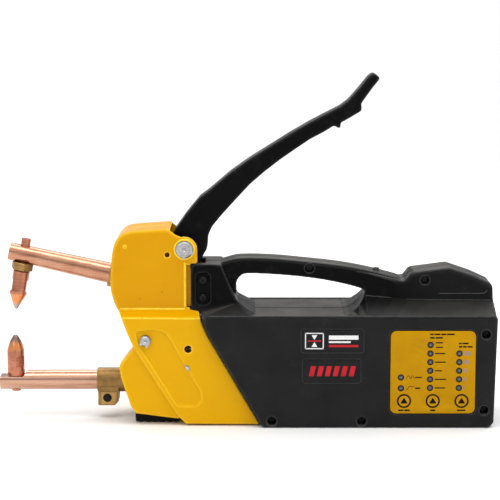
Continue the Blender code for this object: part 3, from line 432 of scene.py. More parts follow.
def painted(name):
    """Glossy stoved yellow paint: orange peel, small tone changes, edges painted a brighter yellow as painted
    highlight, and a few rust specks.

    The narrow upper plate is painted a shade darker than the wide lower one, as painted shade on one paint.
    """
    r = Recipe(name, Coat_Weight=0.10, Coat_Roughness=0.04, Specular_IOR_Level=0.04)
    cloud = r.ramp(r.noise(14, 4), 0.3, 0.7)
    # Painted shade: the upper plate's tones are darker than the lower plate's, standing in for how the light
    # falls on it.
    upper = r.mix(cloud, (0.632, 0.301, 0.0), (0.595, 0.275, 0.0))
    lower = r.mix(cloud, (0.700, 0.367, 0.0), (0.663, 0.338, 0.0))
    tone = r.mix(r.ramp(r.axis("Z"), 0.096, 0.108), lower, upper)
    # Painted highlight: convex edges painted a brighter yellow.
    tone = r.mix(r.math("MULTIPLY", r.worn_and_highlit_edges(0.503, 0.54), 0.8), tone, (0.97, 0.66, 0.05))
    grime = r.math("MULTIPLY", r.ramp(r.noise(55, 7, 0.75), 0.60, 0.80), 0.22)
    tone = r.mix(grime, tone, (0.42, 0.22, 0.02))
    speck = r.math("MULTIPLY", r.ramp(r.spots(95), 0.055, 0.035), r.ramp(r.noise(11, 2), 0.60, 0.66))
    r.colour(r.mix(speck, tone, (0.16, 0.055, 0.015)))
    r.rough(r.noise(40, 4), 0.22, 0.36)
    r.bump(r.noise(420, 2, 0.4), 0.06, 0.00008)
    r.bump(r.noise(60, 2), 0.05, 0.0003)
    return r.material


def drawn_copper(name, light, dark, along, roughness=(0.20, 0.36)):
    """Copper bar: drawing streaks along its length, warm tarnish in patches, fine handling scratches."""
    r = Recipe(name, metallic=1.0)
    turn = (0, along, 0)
    streak = r.noise(900, 4, 0.6, stretch=(0.02, 1, 1), turn=turn)
    tone = r.mix(r.ramp(streak, 0.35, 0.65), light, dark)
    tarnish = r.ramp(r.noise(45, 6, 0.65, distortion=0.4), 0.48, 0.72)
    stain = tuple(c * share for c, share in zip(dark, (0.72, 0.60, 0.55)))
    r.colour(r.mix(r.math("MULTIPLY", tarnish, 0.45), tone, stain))
    r.rough(r.noise(260, 4, 0.6, stretch=(0.08, 1, 1), turn=turn), *roughness)
    r.bump(streak, 0.10, 0.00004)
    r.bump(r.noise(120, 4), 0.10, 0.0001)
    return r.material


def electrode_metal(name, tip_z, cone_z, tip_colour):
    """Electrode copper: turning marks, brown oxide on the shank, an orange cone and a grey worn tip."""
    r = Recipe(name, metallic=1.0)
    height = r.axis("Z")
    mark = r.noise(1500, 3, 0.6, stretch=(0.05, 0.05, 1))
    shank = r.mix(r.ramp(mark, 0.35, 0.65), (0.60, 0.25, 0.155), (0.42, 0.15, 0.09))
    oxide = r.ramp(r.noise(130, 6, 0.7, distortion=0.6), 0.45, 0.70)
    shank = r.mix(r.math("MULTIPLY", oxide, 0.5), shank, (0.22, 0.095, 0.065))
    wobble = r.math("MULTIPLY", r.math("SUBTRACT", r.noise(300, 4), 0.5), 0.004)
    level = r.math("ADD", height, wobble)
    cone = r.ramp(level, cone_z[0] * MM, cone_z[1] * MM)
    tone = r.mix(cone, shank, (0.72, 0.28, 0.11))
    tip = r.ramp(level, tip_z[0] * MM, tip_z[1] * MM)
    tone = r.mix(tip, tone, tip_colour)
    r.colour(tone)
    r.rough(r.noise(200, 5), 0.26, 0.46)
    r.bump(mark, 0.22, 0.00005)
    r.bump(r.noise(500, 4), 0.16, 0.00008)
    return r.material


def cast(name, light, dark, roughness=(0.34, 0.55), grain=0.3):
    """Cast or machined brass with a sandy skin, dark in patches and brighter on its edges."""
    r = Recipe(name, metallic=1.0)
    tone = r.mix(r.ramp(r.noise(90, 6, 0.7), 0.35, 0.68), light, dark)
    tone = r.mix(r.math("MULTIPLY", r.worn_and_highlit_edges(), 0.6), tone, tuple(min(1, c * 1.7) for c in light))
    r.colour(tone)
    r.rough(r.noise(150, 5), *roughness)
    r.bump(r.noise(1100, 4, 0.7), grain, 0.00008)
    r.bump(r.noise(180, 3), grain * 0.5, 0.0002)
    return r.material


def plated(name, light, dark, roughness=(0.22, 0.42), stretch=(1, 1, 1)):
    """Plated or blackened steel, a little cloudy, with fine scratches."""
    r = Recipe(name, metallic=1.0)
    tone = r.mix(r.ramp(r.noise(160, 6, 0.65), 0.35, 0.68), light, dark)
    r.colour(tone)
    r.rough(r.noise(220, 5, stretch=stretch), *roughness)
    r.bump(r.noise(1300, 4, 0.6, stretch=stretch), 0.14, 0.00004)
    return r.material


def printed(name, colour, other, roughness, grain=1400, specular=0.06):
    """Ink, film and small plastic parts: two near tones, a fine grain and uneven gloss."""
    r = Recipe(name, Specular_IOR_Level=specular)
    tone = r.mix(r.ramp(r.noise(60, 5), 0.35, 0.65), colour, other)
    film = r.math("MULTIPLY", r.ramp(r.noise(160, 6, 0.7), 0.58, 0.80), 0.12)
    r.colour(r.mix(film, tone, tuple(0.8 * c + 0.02 for c in other)))
    r.rough(r.noise(90, 4), roughness - 0.05, roughness + 0.10)
    r.bump(r.noise(grain, 3), 0.10, 0.00003)
    return r.material


def lens(name):
    """Smoked lamp lens with a pale diffusing centre."""
    r = Recipe(name, Coat_Weight=0.2, Coat_Roughness=0.05, Specular_IOR_Level=0.2)
    r.colour(r.mix(r.ramp(r.noise(700, 3), 0.35, 0.65), (0.055, 0.065, 0.085), (0.035, 0.042, 0.055)))
    r.rough(r.noise(300, 3), 0.16, 0.28)
    r.bump(r.noise(1800, 2), 0.08, 0.00003)
    return r.material


def wound(name):
    """Enamelled wire laid in level turns."""
    r = Recipe(name, metallic=0.4, Coat_Weight=0.4)
    wave = r.node("TexWave", wave_type="BANDS", bands_direction="Z")
    wave.inputs["Scale"].default_value = 130.0
    wave.inputs["Distortion"].default_value = 0.4
    r.link(r.coords, wave.inputs["Vector"])
    r.colour(r.mix(wave.outputs["Fac"], (0.16, 0.045, 0.015), (0.55, 0.20, 0.07)))
    r.rough(r.noise(90, 4), 0.26, 0.42)
    r.bump(wave.outputs["Fac"], 0.6, 0.0005)
    return r.material


def laminated(name):
    """Transformer sheets seen on edge."""
    r = Recipe(name, metallic=0.9)
    wave = r.node("TexWave", wave_type="BANDS", bands_direction="Y")
    wave.inputs["Scale"].default_value = 300.0
    r.link(r.coords, wave.inputs["Vector"])
    tone = r.mix(wave.outputs["Fac"], (0.10, 0.10, 0.11), (0.26, 0.27, 0.29))
    r.colour(r.mix(r.math("MULTIPLY", r.ramp(r.noise(80, 5), 0.5, 0.7), 0.4), tone, (0.20, 0.08, 0.03)))
    r.rough(r.noise(120, 4), 0.36, 0.56)
    r.bump(wave.outputs["Fac"], 0.3, 0.0002)
    return r.material


def floor_material():
    """Matt white paper."""
    r = Recipe("studio_floor")
    r.colour(r.mix(r.ramp(r.noise(3, 3), 0.3, 0.7), (0.86, 0.86, 0.86), (0.88, 0.88, 0.875)))
    r.rough(r.noise(9, 3), 0.72, 0.84)
    return r.material


MATERIALS = {
    "body_plastic": moulded("body_plastic", (0.0115, 0.0115, 0.0118), (0.078, 0.078, 0.080), 0.40,
                            shade_above_shoulder=True),
    "lever_coating": moulded("lever_coating", (0.0020, 0.0020, 0.0022), (0.040, 0.040, 0.040), 0.36, 1700,
                             0.25),
    "yellow_paint": painted("yellow_paint"),
    "panel_film": printed("panel_film", (0.485, 0.243, 0.001), (0.450, 0.222, 0.001), 0.40),
    "label_film": printed("label_film", (0.0125, 0.0125, 0.013), (0.016, 0.016, 0.0165), 0.28),
    "key_film": printed("key_film", (0.485, 0.243, 0.001), (0.450, 0.222, 0.001), 0.36),
    "black_ink": printed("black_ink", (0.006, 0.005, 0.004), (0.010, 0.008, 0.006), 0.45),
    "grey_ink": printed("grey_ink", (0.33, 0.235, 0.16), (0.30, 0.21, 0.145), 0.45),
    "white_ink": printed("white_ink", (0.80, 0.80, 0.80), (0.72, 0.72, 0.72), 0.42),
    "lamp_core": printed("lamp_core", (0.17, 0.18, 0.19), (0.13, 0.14, 0.15), 0.30),
    "red_ink": printed("red_ink", (0.53, 0.022, 0.032), (0.46, 0.016, 0.025), 0.38),
    "led_lens": lens("led_lens"),
    "circuit_board": printed("circuit_board", (0.015, 0.16, 0.06), (0.01, 0.10, 0.04), 0.40, grain=600),
    "core_steel": laminated("core_steel"),
    "coil_wire": wound("coil_wire"),
    "bare_copper": drawn_copper("bare_copper", (0.80, 0.42, 0.30), (0.66, 0.30, 0.20), 0.0),
    "arm_copper": drawn_copper("arm_copper", (0.626, 0.385, 0.278), (0.470, 0.249, 0.161), 0.0, (0.13, 0.25)),
    "upper_arm_copper": drawn_copper("upper_arm_copper", (0.585, 0.311, 0.208), (0.443, 0.200, 0.116),
                                     -ARM_TILT, (0.13, 0.25)),
    "electrode_copper": electrode_metal("electrode_copper", (67.5, 72.5), (61.0, 64.0), (0.19, 0.135, 0.115)),
    "upper_electrode_copper": electrode_metal("upper_electrode_copper", (107.5, 104.0), (116.5, 114.5),
                                              (0.42, 0.38, 0.36)),
    "cast_brass": cast("cast_brass", (0.34, 0.205, 0.075), (0.19, 0.11, 0.038)),
    "zinc_steel": plated("zinc_steel", (0.50, 0.50, 0.51), (0.32, 0.32, 0.33)),
    "black_steel": plated("black_steel", (0.022, 0.022, 0.023), (0.012, 0.012, 0.013), (0.30, 0.48)),
    "heat_sink_metal": plated("heat_sink_metal", (0.56, 0.57, 0.58), (0.44, 0.45, 0.46), (0.30, 0.46),
                              (1, 1, 0.05)),
    "module_plastic": moulded("module_plastic", (0.035, 0.035, 0.040), (0.09, 0.09, 0.09), 0.46),
    "rubber": moulded("rubber", (0.0085, 0.0085, 0.0085), (0.035, 0.035, 0.035), 0.66, 1500, 0.5),
    "insulator": printed("insulator", (0.28, 0.14, 0.06), (0.20, 0.10, 0.04), 0.48, grain=500),
}


# --- pieces --------------------------------------------------------------------------------------
def both_sides(make):
    for side, word in ((-1, "left"), (1, "right")):
        make(side, word)


def in_plane(y, path):
    """(x, z) pairs as points of the plane at y."""
    return [(x, y, z) for x, z in path]


def rib_line(name, points, radius, material):
    """A thin round rib of the housing along a path."""
    curve = bpy.data.curves.new(name, "CURVE")
    curve.dimensions = "3D"
    curve.bevel_depth = radius * MM
    curve.bevel_resolution = 3
    curve.use_fill_caps = True
    spline = curve.splines.new("POLY")
    spline.points.add(len(points) - 1)
    for point, place in zip(spline.points, points):
        point.co = (*(Vector(place) * MM), 1.0)
    guide = new_object(name + "_guide", curve)
    mesh = bpy.data.meshes.new_from_object(guide.evaluated_get(bpy.context.evaluated_depsgraph_get()))
    bpy.data.objects.remove(guide, do_unlink=True)
    dress(smooth(new_object(name, mesh), 50), material)


RECESS = [(-100.8, 88.6, 3), (-86.0, 90.4, 8), (-77.0, 89.6, 6), (-71.6, 86.8), (-66.3, 79.4), (-50.1, 49.9),
          (-39.6, 31.5, 4), (-38.3, 21.5, 5), (-43.5, 16.0, 4), (-61.2, 16.4, 3), (-98.2, 75.6, 6)]
RECESS_DEPTH = 1.5
RECESS_SLOPE = 3.6
COVER_SHEET = 1.4


def cover_skin(side, word):
    """Pressed cover: soft bends and a panel pressed into the lower plate."""
    sheet = cad_copy(word + "_front_cover")
    floor = COVER_HALF - RECESS_DEPTH
    cut(sheet, prism("press", RECESS, side * (COVER_HALF + 1.0), side * floor, taper=RECESS_SLOPE))
    inner, outer = COVER_HALF - 3.1, COVER_HALF - 3.1 + COVER_SHEET
    backing = prism("backing", RECESS, side * inner, side * outer)
    skin = soften(word + "_cover_skin", [sheet, backing], 0.55, 6, 0.22)
    dress(skin, "yellow_paint", replaces=[word + "_front_cover"])
    cover_details(side, word)


def cover_details(side, word):
    """The collar round the lever pin, the pressed lines, a dimple and the end of the spring's hook."""
    x, z = LEVER_PIN
    face = COVER_TOP_HALF - 0.4
    outward = (0, side, 0)
    collar = lathe(word + "_pin_collar", (x, side * face, z), outward,
                   [(0, 7.7), (0, 9.9), (0.6, 9.7), (1.1, 9.2), (1.2, 8.4), (1.2, 7.7), (0, 7.7)])
    dress(smooth(collar, 60), "yellow_paint")
    # The fold and both beads are thin ribs on the bends; their round surfaces take the paint's painted edge
    # highlight and draw the bends' bright lines.
    fold = in_plane(side * (face - 0.6), [(-54.9, height) for height in (107.6, 120, 134, 148.6)])
    rib_line(word + "_cover_fold", fold, 1.35, "yellow_paint")
    bead = in_plane(side * (COVER_TOP_HALF - 0.6), [(x, 105.4) for x in (-114.0, -90, -70, -54.6)])
    rib_line(word + "_cover_bead", bead, 1.5, "yellow_paint")
    bead = in_plane(side * (COVER_HALF - 0.75), [(-110.6, 99.2), (-90, 99.1), (-65, 98.9), (-42.2, 98.7)])
    rib_line(word + "_cover_lower_bead", bead, 0.95, "yellow_paint")
    dimple = lathe(word + "_cover_dimple", (-109.0, side * face, 163.0), outward,
                   [(0, 2.2), (0.40, 1.9), (0.52, 1.2), (0.56, 0)], 32)
    dress(smooth(dimple, 60), "yellow_paint")
    hook = in_plane(side * (COVER_HALF + 0.15), [(-54.9, 55.9), (-53.6, 54.9), (-52.0, 53.1), (-50.8, 51.2)])
    rib_line(word + "_spring_hook_end", hook, 0.75, "zinc_steel")


def shell_skin(side, word):
    """Moulded half of the case, with the fine lines along its shoulder and round the hump: thin ribs whose
    round surfaces take the plastic's painted edge highlight as bright lines.
    """
    skin = soften(word + "_shell_skin", [cad_copy(word + "_body_shell")], 0.65, 4, 0.2)
    dress(skin, "body_plastic", replaces=[word + "_body_shell"])
    hump = [(176.5, 118.8), (215.0, 118.8), (217.6, 119.1), (219.4, 120.4), (220.2, 122.0)]
    rib_line(word + "_hump_line", in_plane(side * HUMP_HALF, hump), 0.55, "body_plastic")
    edge = [(x, 102.3) for x in (-34.5, 40.0, 130.0, 222.5)]
    rib_line(word + "_shoulder_edge", in_plane(side * 47.25, edge), 0.72, "body_plastic")
    root = [(112, 20.2, 116.2), (124, 20.2, 115.3), (138, 20.3, 114.3), (152, 20.8, 113.3),
            (168, HUMP_HALF, 112.9), (224, HUMP_HALF, 112.5)]
    rib_line(word + "_shoulder_line", [(x, side * y, z) for x, y, z in root], 0.6, "body_plastic")


def lever_skin():
    skin = soften("lever_skin", [cad_copy("lever")], 0.6, 14, 0.25)
    dress(skin, "lever_coating", "lever", replaces=["lever"])


def on_arm(x):
    """The point of the upper arm's axis at an X."""
    return Vector((x, 0, ARM_POINT[1] + (ARM_POINT[0] - x) * math.tan(ARM_TILT)))


def arms():
    """The upper arm, slimmer towards its end, and the lower arm with the flat under its electrode."""
    start = on_arm(-86.6)
    length = (start.x + 216.8) / math.cos(ARM_TILT)
    straight = (start.x + 129.0) / math.cos(ARM_TILT)
    upper = lathe("upper_arm_bar", start, ARM_ALONG,
                  [(0, 0), (0, ARM_RADIUS), (straight, ARM_RADIUS), (length, 8.15), (length, 0)], 96)
    cut(upper, rod("cross", ELECTRODE_CROSS - ELECTRODE_ALONG * 30, ELECTRODE_ALONG, 60, SHANK_HOLE, 48))
    cut(upper, rod("spot_face", ELECTRODE_CROSS + ELECTRODE_ALONG * 7.0, ELECTRODE_ALONG, 13, 11.2))
    bevel(upper, 0.6)
    dress(smooth(upper), "upper_arm_copper", "upper_arm", ["upper_arm"])

    lower = rod("lower_arm_bar", (-74.0, 0, LOWER_ARM_Z), (-1, 0, 0), 153.3, LOWER_ARM_RADIUS, 96)
    milled = [(-240, 38.1), (-205.9, 38.1), (-201.6, 43.6), (-201.6, 50), (-240, 50)]
    cut(lower, prism("flat", milled, -20, 20))
    cut(lower, rod("hole", (LOWER_ELECTRODE_X, 0, 0), (0, 0, 1), 60, SHANK_HOLE, 48))
    bevel(lower, 0.45)
    dress(smooth(lower), "arm_copper", replaces=["lower_arm"])


def flats(obj, middle, along, radius, low, high, turned):
    """Two wrench flats, radius from a turned part's axis, turned round that axis by so many degrees."""
    reach = 12
    along = Vector(along).normalized()
    turn = along.to_track_quat("Z", "X").to_matrix().to_4x4()
    for sign in (-1, 1):
        tool = box("flat_tool", (-reach, -reach, low), (reach, reach, high))
        shift = (Matrix.Rotation(math.radians(turned), 4, "Z")
                 @ Matrix.Translation(Vector((0, sign * (radius + reach), 0)) * MM))
        tool.data.transform(Matrix.Translation(Vector(middle) * MM) @ turn @ shift)
        cut(obj, tool)
    return obj


def electrodes():
    """Both electrodes as turned and milled, and the nut that holds the upper one."""
    lower = lathe("lower_electrode_body", (LOWER_ELECTRODE_X, 0, 23.8), (0, 0, 1),
                  [(0, 0), (0, SHANK_RADIUS), (14.6, SHANK_RADIUS), (14.6, 7.6), (15.4, 7.9), (39.0, 7.9),
                   (46.5, 5.2), (51.0, 2.6), (52.4, 1.5), (52.8, 0)])
    bevel(flats(lower, (LOWER_ELECTRODE_X, 0, 0), (0, 0, 1), 6.5, 47.7, 57.0, 42), 0.25)
    dress(smooth(lower), "electrode_copper", replaces=["lower_electrode"])

    shank = 14.7
    turned = [(15.4, SHANK_RADIUS), (15.4, 7.2), (16.0, 7.6), (33.0, 7.6), (34.0, 7.9), (37.2, 7.9),
              (44.2, 4.6), (50.4, 2.1), (51.4, 1.2), (51.8, 0)]
    profile = [(0, 0), (0, SHANK_RADIUS)] + [(shank + distance, radius) for distance, radius in turned]
    upper = lathe("upper_electrode_body", ELECTRODE_CROSS - ELECTRODE_ALONG * shank, ELECTRODE_ALONG, profile)
    bevel(flats(upper, ELECTRODE_CROSS, ELECTRODE_ALONG, 6.3, 23.7, 35.5, 90), 0.25)
    dress(smooth(upper), "upper_electrode_copper", "upper_arm", ["upper_electrode"])

    nut = lathe("electrode_nut_body", ELECTRODE_CROSS + ELECTRODE_ALONG * 7.3, ELECTRODE_ALONG,
                [(0, 4.5), (0, 9.4), (0.7, 10.4), (6.7, 10.4), (7.4, 9.4), (7.4, 4.5), (0, 4.5)], 6)
    bevel(nut, 0.35)
    dress(smooth(nut), "cast_brass", "upper_arm", replaces=["electrode_nut"])


def holder():
    """The split brass clamp round the lower arm, its machined face and its socket screw."""
    outline = [(-133.4, 12.6), (-121.4, 12.6), (-118.6, 15.8), (-118.6, 24.4), (-133.4, 24.4)]
    face = prism("clamp_face", outline, -11.5, -9.8)
    dress(smooth(bevel(face, 0.35)), "cast_brass")
    x, z = CLAMP_SCREW
    # Painted shade: a flat dark disc stands in for the shaded recess round the screw's head.
    seat = rod("clamp_screw_recess_shade", (x, -11.62, z), (0, 1, 0), 0.5, 4.0, 48)
    dress(smooth(seat), "black_steel")
    rim = tube("rim", (-137.4, 0, LOWER_ARM_Z), (1, 0, 0), 33, 9.3, 11.3, 72)
    skin = soften("arm_holder_casting", [cad_copy("lower_arm_holder"), rim], 0.5, 3, 0.3)
    dress(skin, "cast_brass", replaces=["lower_arm_holder"])
    socket_screw("lower_clamp_socket", (x, -12.3, z), 1, (3.0, 4.4), (2.4, 29.5), (1.6, 2.2),
                 "lower_clamp_screw")


def socket_screw(name, place, inward, head, shank, socket, node):
    """A screw with a hexagon socket, driven along Y; inward is 1 or -1.

    head and shank are (radius, length), socket is (radius, depth).
    """
    (wide, height), (thin, length), (across, depth) = head, shank, socket
    along = Vector((0, inward, 0))
    screw = lathe(name, place, along, [(0, 0), (0, wide - 0.5), (0.5, wide), (height, wide), (height, thin),
                                       (length, thin), (length, 0)], 48)
    cut(screw, rod("socket", Vector(place) - along * 2, along, 2 + depth, across, 6))
    bevel(screw, 0.2, 2)
    dress(smooth(screw), "black_steel", replaces=[node])


def screws():
    sunk = 2.4
    for name, (x, z, seat) in CASE_SCREWS.items():
        boss = 8.0 if seat > 20 else 6.0
        shank = (2.0, boss + seat + sunk)
        socket_screw(name + "_head", (x, -seat - sunk, z), 1, (3.8, 2.1), shank, (1.9, 1.4), name)
    both_sides(neck_screws)


def neck_screws(side, word):
    for level, (x, z) in NECK_SCREWS.items():
        end = word + "_" + level
        socket_screw("neck_socket_" + end, (x, side * 28.9, z), -side, (3.4, 2.6), (2.0, 11.0), (1.7, 1.8),
                     "neck_screw_" + end)


def cross_pin(name, axis, start, profile, steps, node, shadow_ring):
    """A pin across the machine, and a dark ring round it painted as its shadow: (where it starts, its length,
    inner, outer radius).
    """
    x, z = axis
    pin = lathe(name, (x, start, z), (0, 1, 0), profile, steps)
    dress(smooth(pin, 30), "zinc_steel", replaces=[node])
    # Painted shadow: a dark ring round the pin, not a real washer.
    ring = tube(name + "_washer", (x, shadow_ring[0], z), (0, 1, 0), *shadow_ring[1:], 64)
    dress(smooth(ring, 30), "black_steel")


def pins():
    """Both pins have a dimple in the end, a groove for the spring clip and a head on the far side."""
    dimple = [(0.7, 0), (0.6, 0.9), (0.1, 1.5), (0.0, 1.6)]
    end = [(0, 5.0), (0.18, 5.15), (0, 5.3), (0, 6.2), (0.5, 7.0), (0.9, 7.0), (0.9, 6.2), (2.1, 6.2),
           (2.1, 7.0)]
    head = [(60.3, 7.0), (60.3, 9.1), (62.2, 9.1), (62.7, 8.4), (62.7, 0)]
    cross_pin("lever_pin", LEVER_PIN, -31.4, dimple + end + head, 64, "lever_pivot_pin",
              (-29.55, 0.4, 7.35, 8.0))
    dimple = [(0.7, 0), (0.6, 0.7), (0.1, 1.2), (0, 1.3)]
    end = [(0, 3.7), (0.4, 4.2), (0.8, 4.2), (0.8, 3.4), (1.9, 3.4), (1.9, 4.2)]
    head = [(83.0, 4.2), (83.0, 6.2), (84.6, 6.2), (85.0, 5.7), (85.0, 0)]
    cross_pin("arm_pin", ARM_PIN, -42.7, dimple + end + head, 48, "arm_pivot_pin", (-40.6, 2.3, 4.45, 5.0))


def foot():
    skin = soften("front_foot_rubber", [cad_copy("front_foot")], 0.4, 3, 0.3)
    dress(skin, "rubber", replaces=["front_foot"])


# --- panel and labels ------------------------------------------------------------------------------
FILM_INK = (-47.88, -47.935)
LABEL_INK = (-47.94, -47.985)
LAMP_INK = (-47.93, -47.975)
ARROW_INK = (-47.93, -47.985)
WORD_GAP = 0.7


def ink(name, outlines, material, faces=FILM_INK):
    """Thin printed shapes as one piece; faces are its inner and outer Y."""
    inner, outer = faces
    made = cluster(name, [prism(name + "_part", outline, outer, inner) for outline in outlines])
    dress(smooth(made), material)


def bar(x0, x1, z0, z1):
    return [(x0, z0), (x1, z0), (x1, z1), (x0, z1)]


def stroke(points, width):
    """A broken line as one closed outline for each of its parts."""
    parts = []
    for (x0, z0), (x1, z1) in zip(points, points[1:]):
        along = Vector((x1 - x0, z1 - z0)).normalized()
        across = Vector((-along.y, along.x)) * width / 2
        a, b = Vector((x0, z0)) - along * width / 3, Vector((x1, z1)) + along * width / 3
        parts.append([tuple(a - across), tuple(b - across), tuple(b + across), tuple(a + across)])
    return parts


def words(x, z, lengths, height):
    """A row of blank bars where the real panel has a caption."""
    made = []
    for length in lengths:
        made.append(bar(x, x + length, z - height / 2, z + height / 2))
        x += length + WORD_GAP
    return made


def circle(x, z, radius, steps):
    return [(x + radius * math.cos(2 * math.pi * i / steps), z + radius * math.sin(2 * math.pi * i / steps))
            for i in range(steps)]


def panel():
    film = bevel(cad_copy("control_panel"), 0.18, 2, 50)
    film.name = "panel_plate"
    dress(smooth(film), "panel_film", replaces=["control_panel"])
    panel_print()
    for name, x in KEYS.items():
        key(name, x)
    for name, places in LED_GROUPS.items():
        lamps(name, places)


def panel_print():
    """Captions and symbols, and the grey bars that grow beside the rearmost row of lamps."""
    top = ROW_Z[-1]
    captions = [(166.2, 86.2, (3.2, 5.4, 4.6, 6.8), 1.4), (166.2, 83.0, (4.4, 6.4), 1.4),
                (192.2, 77.8, (2.6, 5.4), 1.4), (192.2, 74.8, (3.2, 3.2, 4.6), 1.4)]
    captions += [(171.0, z, (length,), 1.1) for z, length in zip(ROW_Z, (9.5, 10.2, 6.4, 9.6, 9.0))]
    captions += [(171.6, top + 2.0, (6.4,), 1.1), (171.6, top - 2.2, (6.4,), 1.1),
                 (153.4, 46.6, (6.0,), 1.1), (153.4, 36.6, (4.6,), 1.3),
                 (138.4, 16.2, (4.6, 5.2), 1.5), (167.2, 16.2, (4.6,), 1.5), (191.4, 16.2, (7.6,), 1.3)]
    marks = [outline for caption in captions for outline in words(*caption)]
    wave = [(145.2, 45.2), (146.4, 47.6), (147.2, 48.2), (148.0, 47.6), (148.8, 45.6), (149.6, 45.6),
            (150.2, 47.6), (151.0, 48.2), (151.8, 47.4), (152.6, 45.2)]
    rise = [(145.2, 35.2), (146.6, 35.4), (147.6, 38.0), (148.2, 38.2), (152.8, 38.2)]
    ink("panel_print", marks + stroke(wave, 0.45) + stroke(rise, 0.45), "black_ink")
    levels = [bar(197.2, 198.0 + 1.35 * i, z - 1.7, z + 2.1) for i, z in enumerate(ROW_Z[:5])]
    ink("panel_levels", levels, "grey_ink")


def key(name, x):
    """A round key in its printed ring, with a dark edge and an arrow that ride on it."""
    outward = (0, -1, 0)
    inner, outer = FILM_INK
    around = tube(name + "_ring", (x, inner, KEY_Z), outward, inner - outer, 6.02, 6.50, 48)
    dress(smooth(around), "black_ink")
    cap = lathe(name + "_cap", (x, -42.1, KEY_Z), outward,
                [(0, 0), (0, 2.0), (3.0, 2.0), (3.0, 6.8), (4.0, 6.8), (4.0, 5.8), (5.6, 5.8), (5.82, 5.5),
                 (5.85, 0)])
    dress(smooth(cap, 30), "key_film", name, replaces=[name])
    edge = lathe(name + "_edge", (x, -47.9, KEY_Z), outward,
                 [(0, 4.95), (0, 5.78), (0.07, 5.74), (0.07, 4.95), (0, 4.95)])
    dress(smooth(edge), "black_ink", name)
    corners = [(x - 3.4, KEY_Z - 2.3, 0.5), (x + 3.4, KEY_Z - 2.3, 0.5), (x, KEY_Z + 3.3, 0.5)]
    inner, outer = ARROW_INK
    arrow = prism(name + "_arrow", corners, outer, inner)
    dress(smooth(arrow), "black_ink", name)


def lamps(name, places):
    """One row of lamps on their common light guide, with dark collars and pale cores."""
    outward = (0, -1, 0)
    dome = [(0, 0), (0, 2.5), (2.6, 2.5), (2.85, 2.2), (2.93, 1.5), (2.96, 0)]
    lenses = [lathe("lamp", (x, -45.0, z), outward, dome, 40) for x, z in places]
    x, low = places[0]
    high = places[-1][1]
    lenses.append(box("guide", (x - 3.0, -45.6, low - 3.4), (x + 3.0, -43.4, high + 3.4)))
    dress(smooth(cluster(name + "_lens", lenses)), "led_lens", replaces=[name])
    collars = [tube("collar", (x, -46.95, z), outward, 1.03, 2.05, 2.87, 40) for x, z in places]
    dress(smooth(cluster(name + "_collars", collars)), "black_ink")
    ink(name + "_dots", [circle(x, z, 0.75, 20) for x, z in places], "lamp_core", LAMP_INK)


def label_plate(name):
    """A label's film in its shallow bed, and the fine raised rim round it, whose round surface takes the
    plastic's painted edge highlight as a pale outline.
    """
    x0, x1, z0, z1 = LABELS[name]
    gap, corner = 0.75, 3
    film = [(x, z, corner) for x, z in bar(x0 + gap, x1 - gap, z0 + gap, z1 - gap)]
    plate = prism(name + "_plate", film, -47.95, -47.6)
    dress(smooth(bevel(plate, 0.12, 2)), "label_film", replaces=[name])
    rim = rounded([(x, z, corner) for x, z in bar(x0, x1, z0, z1)])
    rib_line(name + "_rim", in_plane(-47.5, [*rim, rim[0]]), 0.40, "body_plastic")


def label_art():
    """Generic marks: two tips closing on a sheet, blank bars, and a row of slanted bars."""
    for name in LABELS:
        label_plate(name)
    x0, x1, z0, z1 = LABELS["upper_label"]
    corners = bar(x0 + 4, x0 + 20, z0 + 4, z1 - 4)
    border = stroke([*corners, corners[0]], 0.9)
    x, z = x0 + 12, (z0 + z1) / 2
    tips = [[(x - 2.6, z + way * 5.4), (x + 2.6, z + way * 5.4), (x, z + way * 1.0)] for way in (1, -1)]
    ink("label_pictogram", border + tips, "white_ink", LABEL_INK)
    ink("label_sheet", [bar(x - 6, x + 6, z - 0.55, z + 0.55)], "red_ink", LABEL_INK)
    lines = [bar(x0 + 25, x1 - 5, z + 1.2, z + 5.0), bar(x0 + 25, x1 - 12, z - 1.8, z - 0.2)]
    ink("label_bars", lines, "white_ink", LABEL_INK)
    ink("label_stripe", [bar(x0 + 25, x1 - 5, z - 5.6, z - 3.6)], "red_ink", LABEL_INK)
    x0, x1, z0, z1 = LABELS["lower_label"]
    lefts = [x0 + 5.5 + i * 7.2 for i in range(6)]
    slants = [[(left, z0 + 6.6), (left + 4.4, z0 + 6.6), (left + 6.4, z1 - 6.6), (left + 2.0, z1 - 6.6)]
              for left in lefts]
    ink("label_slants", slants, "red_ink", LABEL_INK)


# --- the CAD pieces that stay ------------------------------------------------------------------------
KEEP = {
    "circuit_board": ["control_board"],
    "core_steel": ["transformer_core"],
    "coil_wire": ["primary_coil"],
    "bare_copper": ["secondary_turn", "lower_bus_bar", "flexible_shunt"],
    "heat_sink_metal": ["heat_sink"],
    "module_plastic": ["thyristor_module", "microswitch", "switch_plunger"],
    "cast_brass": ["upper_arm_carrier"],
    "black_steel": ["upper_clamp_screw"],
    "zinc_steel": ["arm_spacer_left", "arm_spacer_right", "lever_spacer_left", "lever_spacer_right",
                   "cam_roller", "roller_pin", "arm_pin_clip", "lever_pin_clip", "spring_anchor_pin",
                   "return_spring"],
    "insulator": ["arm_pivot_bush"],
    "rubber": ["cable_inlet_grommet"],
}


def kept_nodes():
    for material, names in KEEP.items():
        for name in names:
            obj = NODES[name]
            obj.data.materials.clear()
            obj.data.materials.append(MATERIALS[material])
            rims = obj.modifiers.new("rims", "BEVEL")
            rims.width = 0.2 * MM
            rims.segments = 2
            rims.limit_method = "ANGLE"
            rims.angle_limit = math.radians(45)


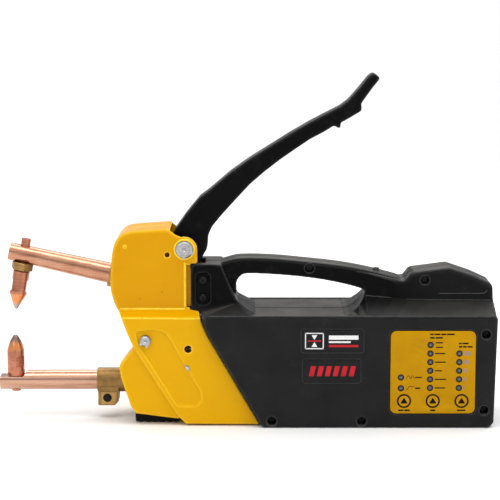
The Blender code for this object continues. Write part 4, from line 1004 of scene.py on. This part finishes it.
# --- studio, in metres -------------------------------------------------------------------------------
def camera():
    """A long lens, a little above the machine and square to its side."""
    scene = bpy.context.scene
    scene.view_settings.view_transform = "Standard"
    lens_data = bpy.data.cameras.new("camera")
    lens_data.lens = 127.73
    lens_data.sensor_width = 36.0
    lens_data.clip_start = 0.05
    lens_data.clip_end = 1000.0
    obj = bpy.data.objects.new("camera", lens_data)
    scene.collection.objects.link(obj)
    obj.location = (0.00425, -1.61365, 0.39971)
    obj.rotation_euler = (math.radians(90 - 8.6), 0, 0)
    scene.camera = obj


def backdrop():
    """A pale floor, and a grey-white world that is bright overhead and down at the horizon."""
    reach = 250000.0
    floor = prism("floor", bar(-reach, reach, -reach, reach), -50.0, -0.4, "z")
    floor.data.materials.append(floor_material())

    world = bpy.data.worlds.new("studio")
    world.use_nodes = True
    tree = world.node_tree
    coords = tree.nodes.new("ShaderNodeTexCoord")
    split = tree.nodes.new("ShaderNodeSeparateXYZ")
    ramp = tree.nodes.new("ShaderNodeValToRGB")
    sky = ramp.color_ramp
    steps = ((0.0, 0.70), (0.105, 0.70), (0.15, 0.23), (0.45, 0.60), (0.90, 1.0))
    while len(sky.elements) < len(steps):
        sky.elements.new(0.5)
    for element, (height, grey) in zip(sky.elements, steps):
        element.position = height
        element.color = (grey, grey, grey, 1)
    background = tree.nodes["Background"]
    background.inputs["Strength"].default_value = 1.5
    tree.links.new(coords.outputs["Generated"], split.inputs["Vector"])
    tree.links.new(split.outputs["Z"], ramp.inputs["Fac"])
    tree.links.new(ramp.outputs["Color"], background.inputs["Color"])
    bpy.context.scene.world = world


def area_light(name, place, target, size, power):
    light = bpy.data.lights.new(name, "AREA")
    light.shape = "RECTANGLE"
    light.size, light.size_y = size
    light.energy = power
    obj = bpy.data.objects.new(name, light)
    bpy.context.scene.collection.objects.link(obj)
    obj.location = place
    obj.rotation_euler = (Vector(target) - Vector(place)).to_track_quat("-Z", "Y").to_euler()


def studio():
    camera()
    backdrop()
    area_light("overhead", (0.0, -0.28, 1.15), (0.0, 0.0, 0.12), (1.3, 0.30), 4.6)
    area_light("key", (-0.95, -1.05, 0.95), (-0.05, 0.0, 0.12), (0.2, 0.2), 1.6)
    area_light("fill", (1.25, -0.95, 0.55), (0.05, 0.0, 0.1), (0.4, 0.6), 1.0)
    area_light("rear", (0.1, 0.85, 1.2), (0.05, 0.0, 0.12), (1.6, 0.5), 6.0)


both_sides(cover_skin)
both_sides(shell_skin)
lever_skin()
arms()
electrodes()
holder()
screws()
pins()
foot()
panel()
label_art()
kept_nodes()
studio()
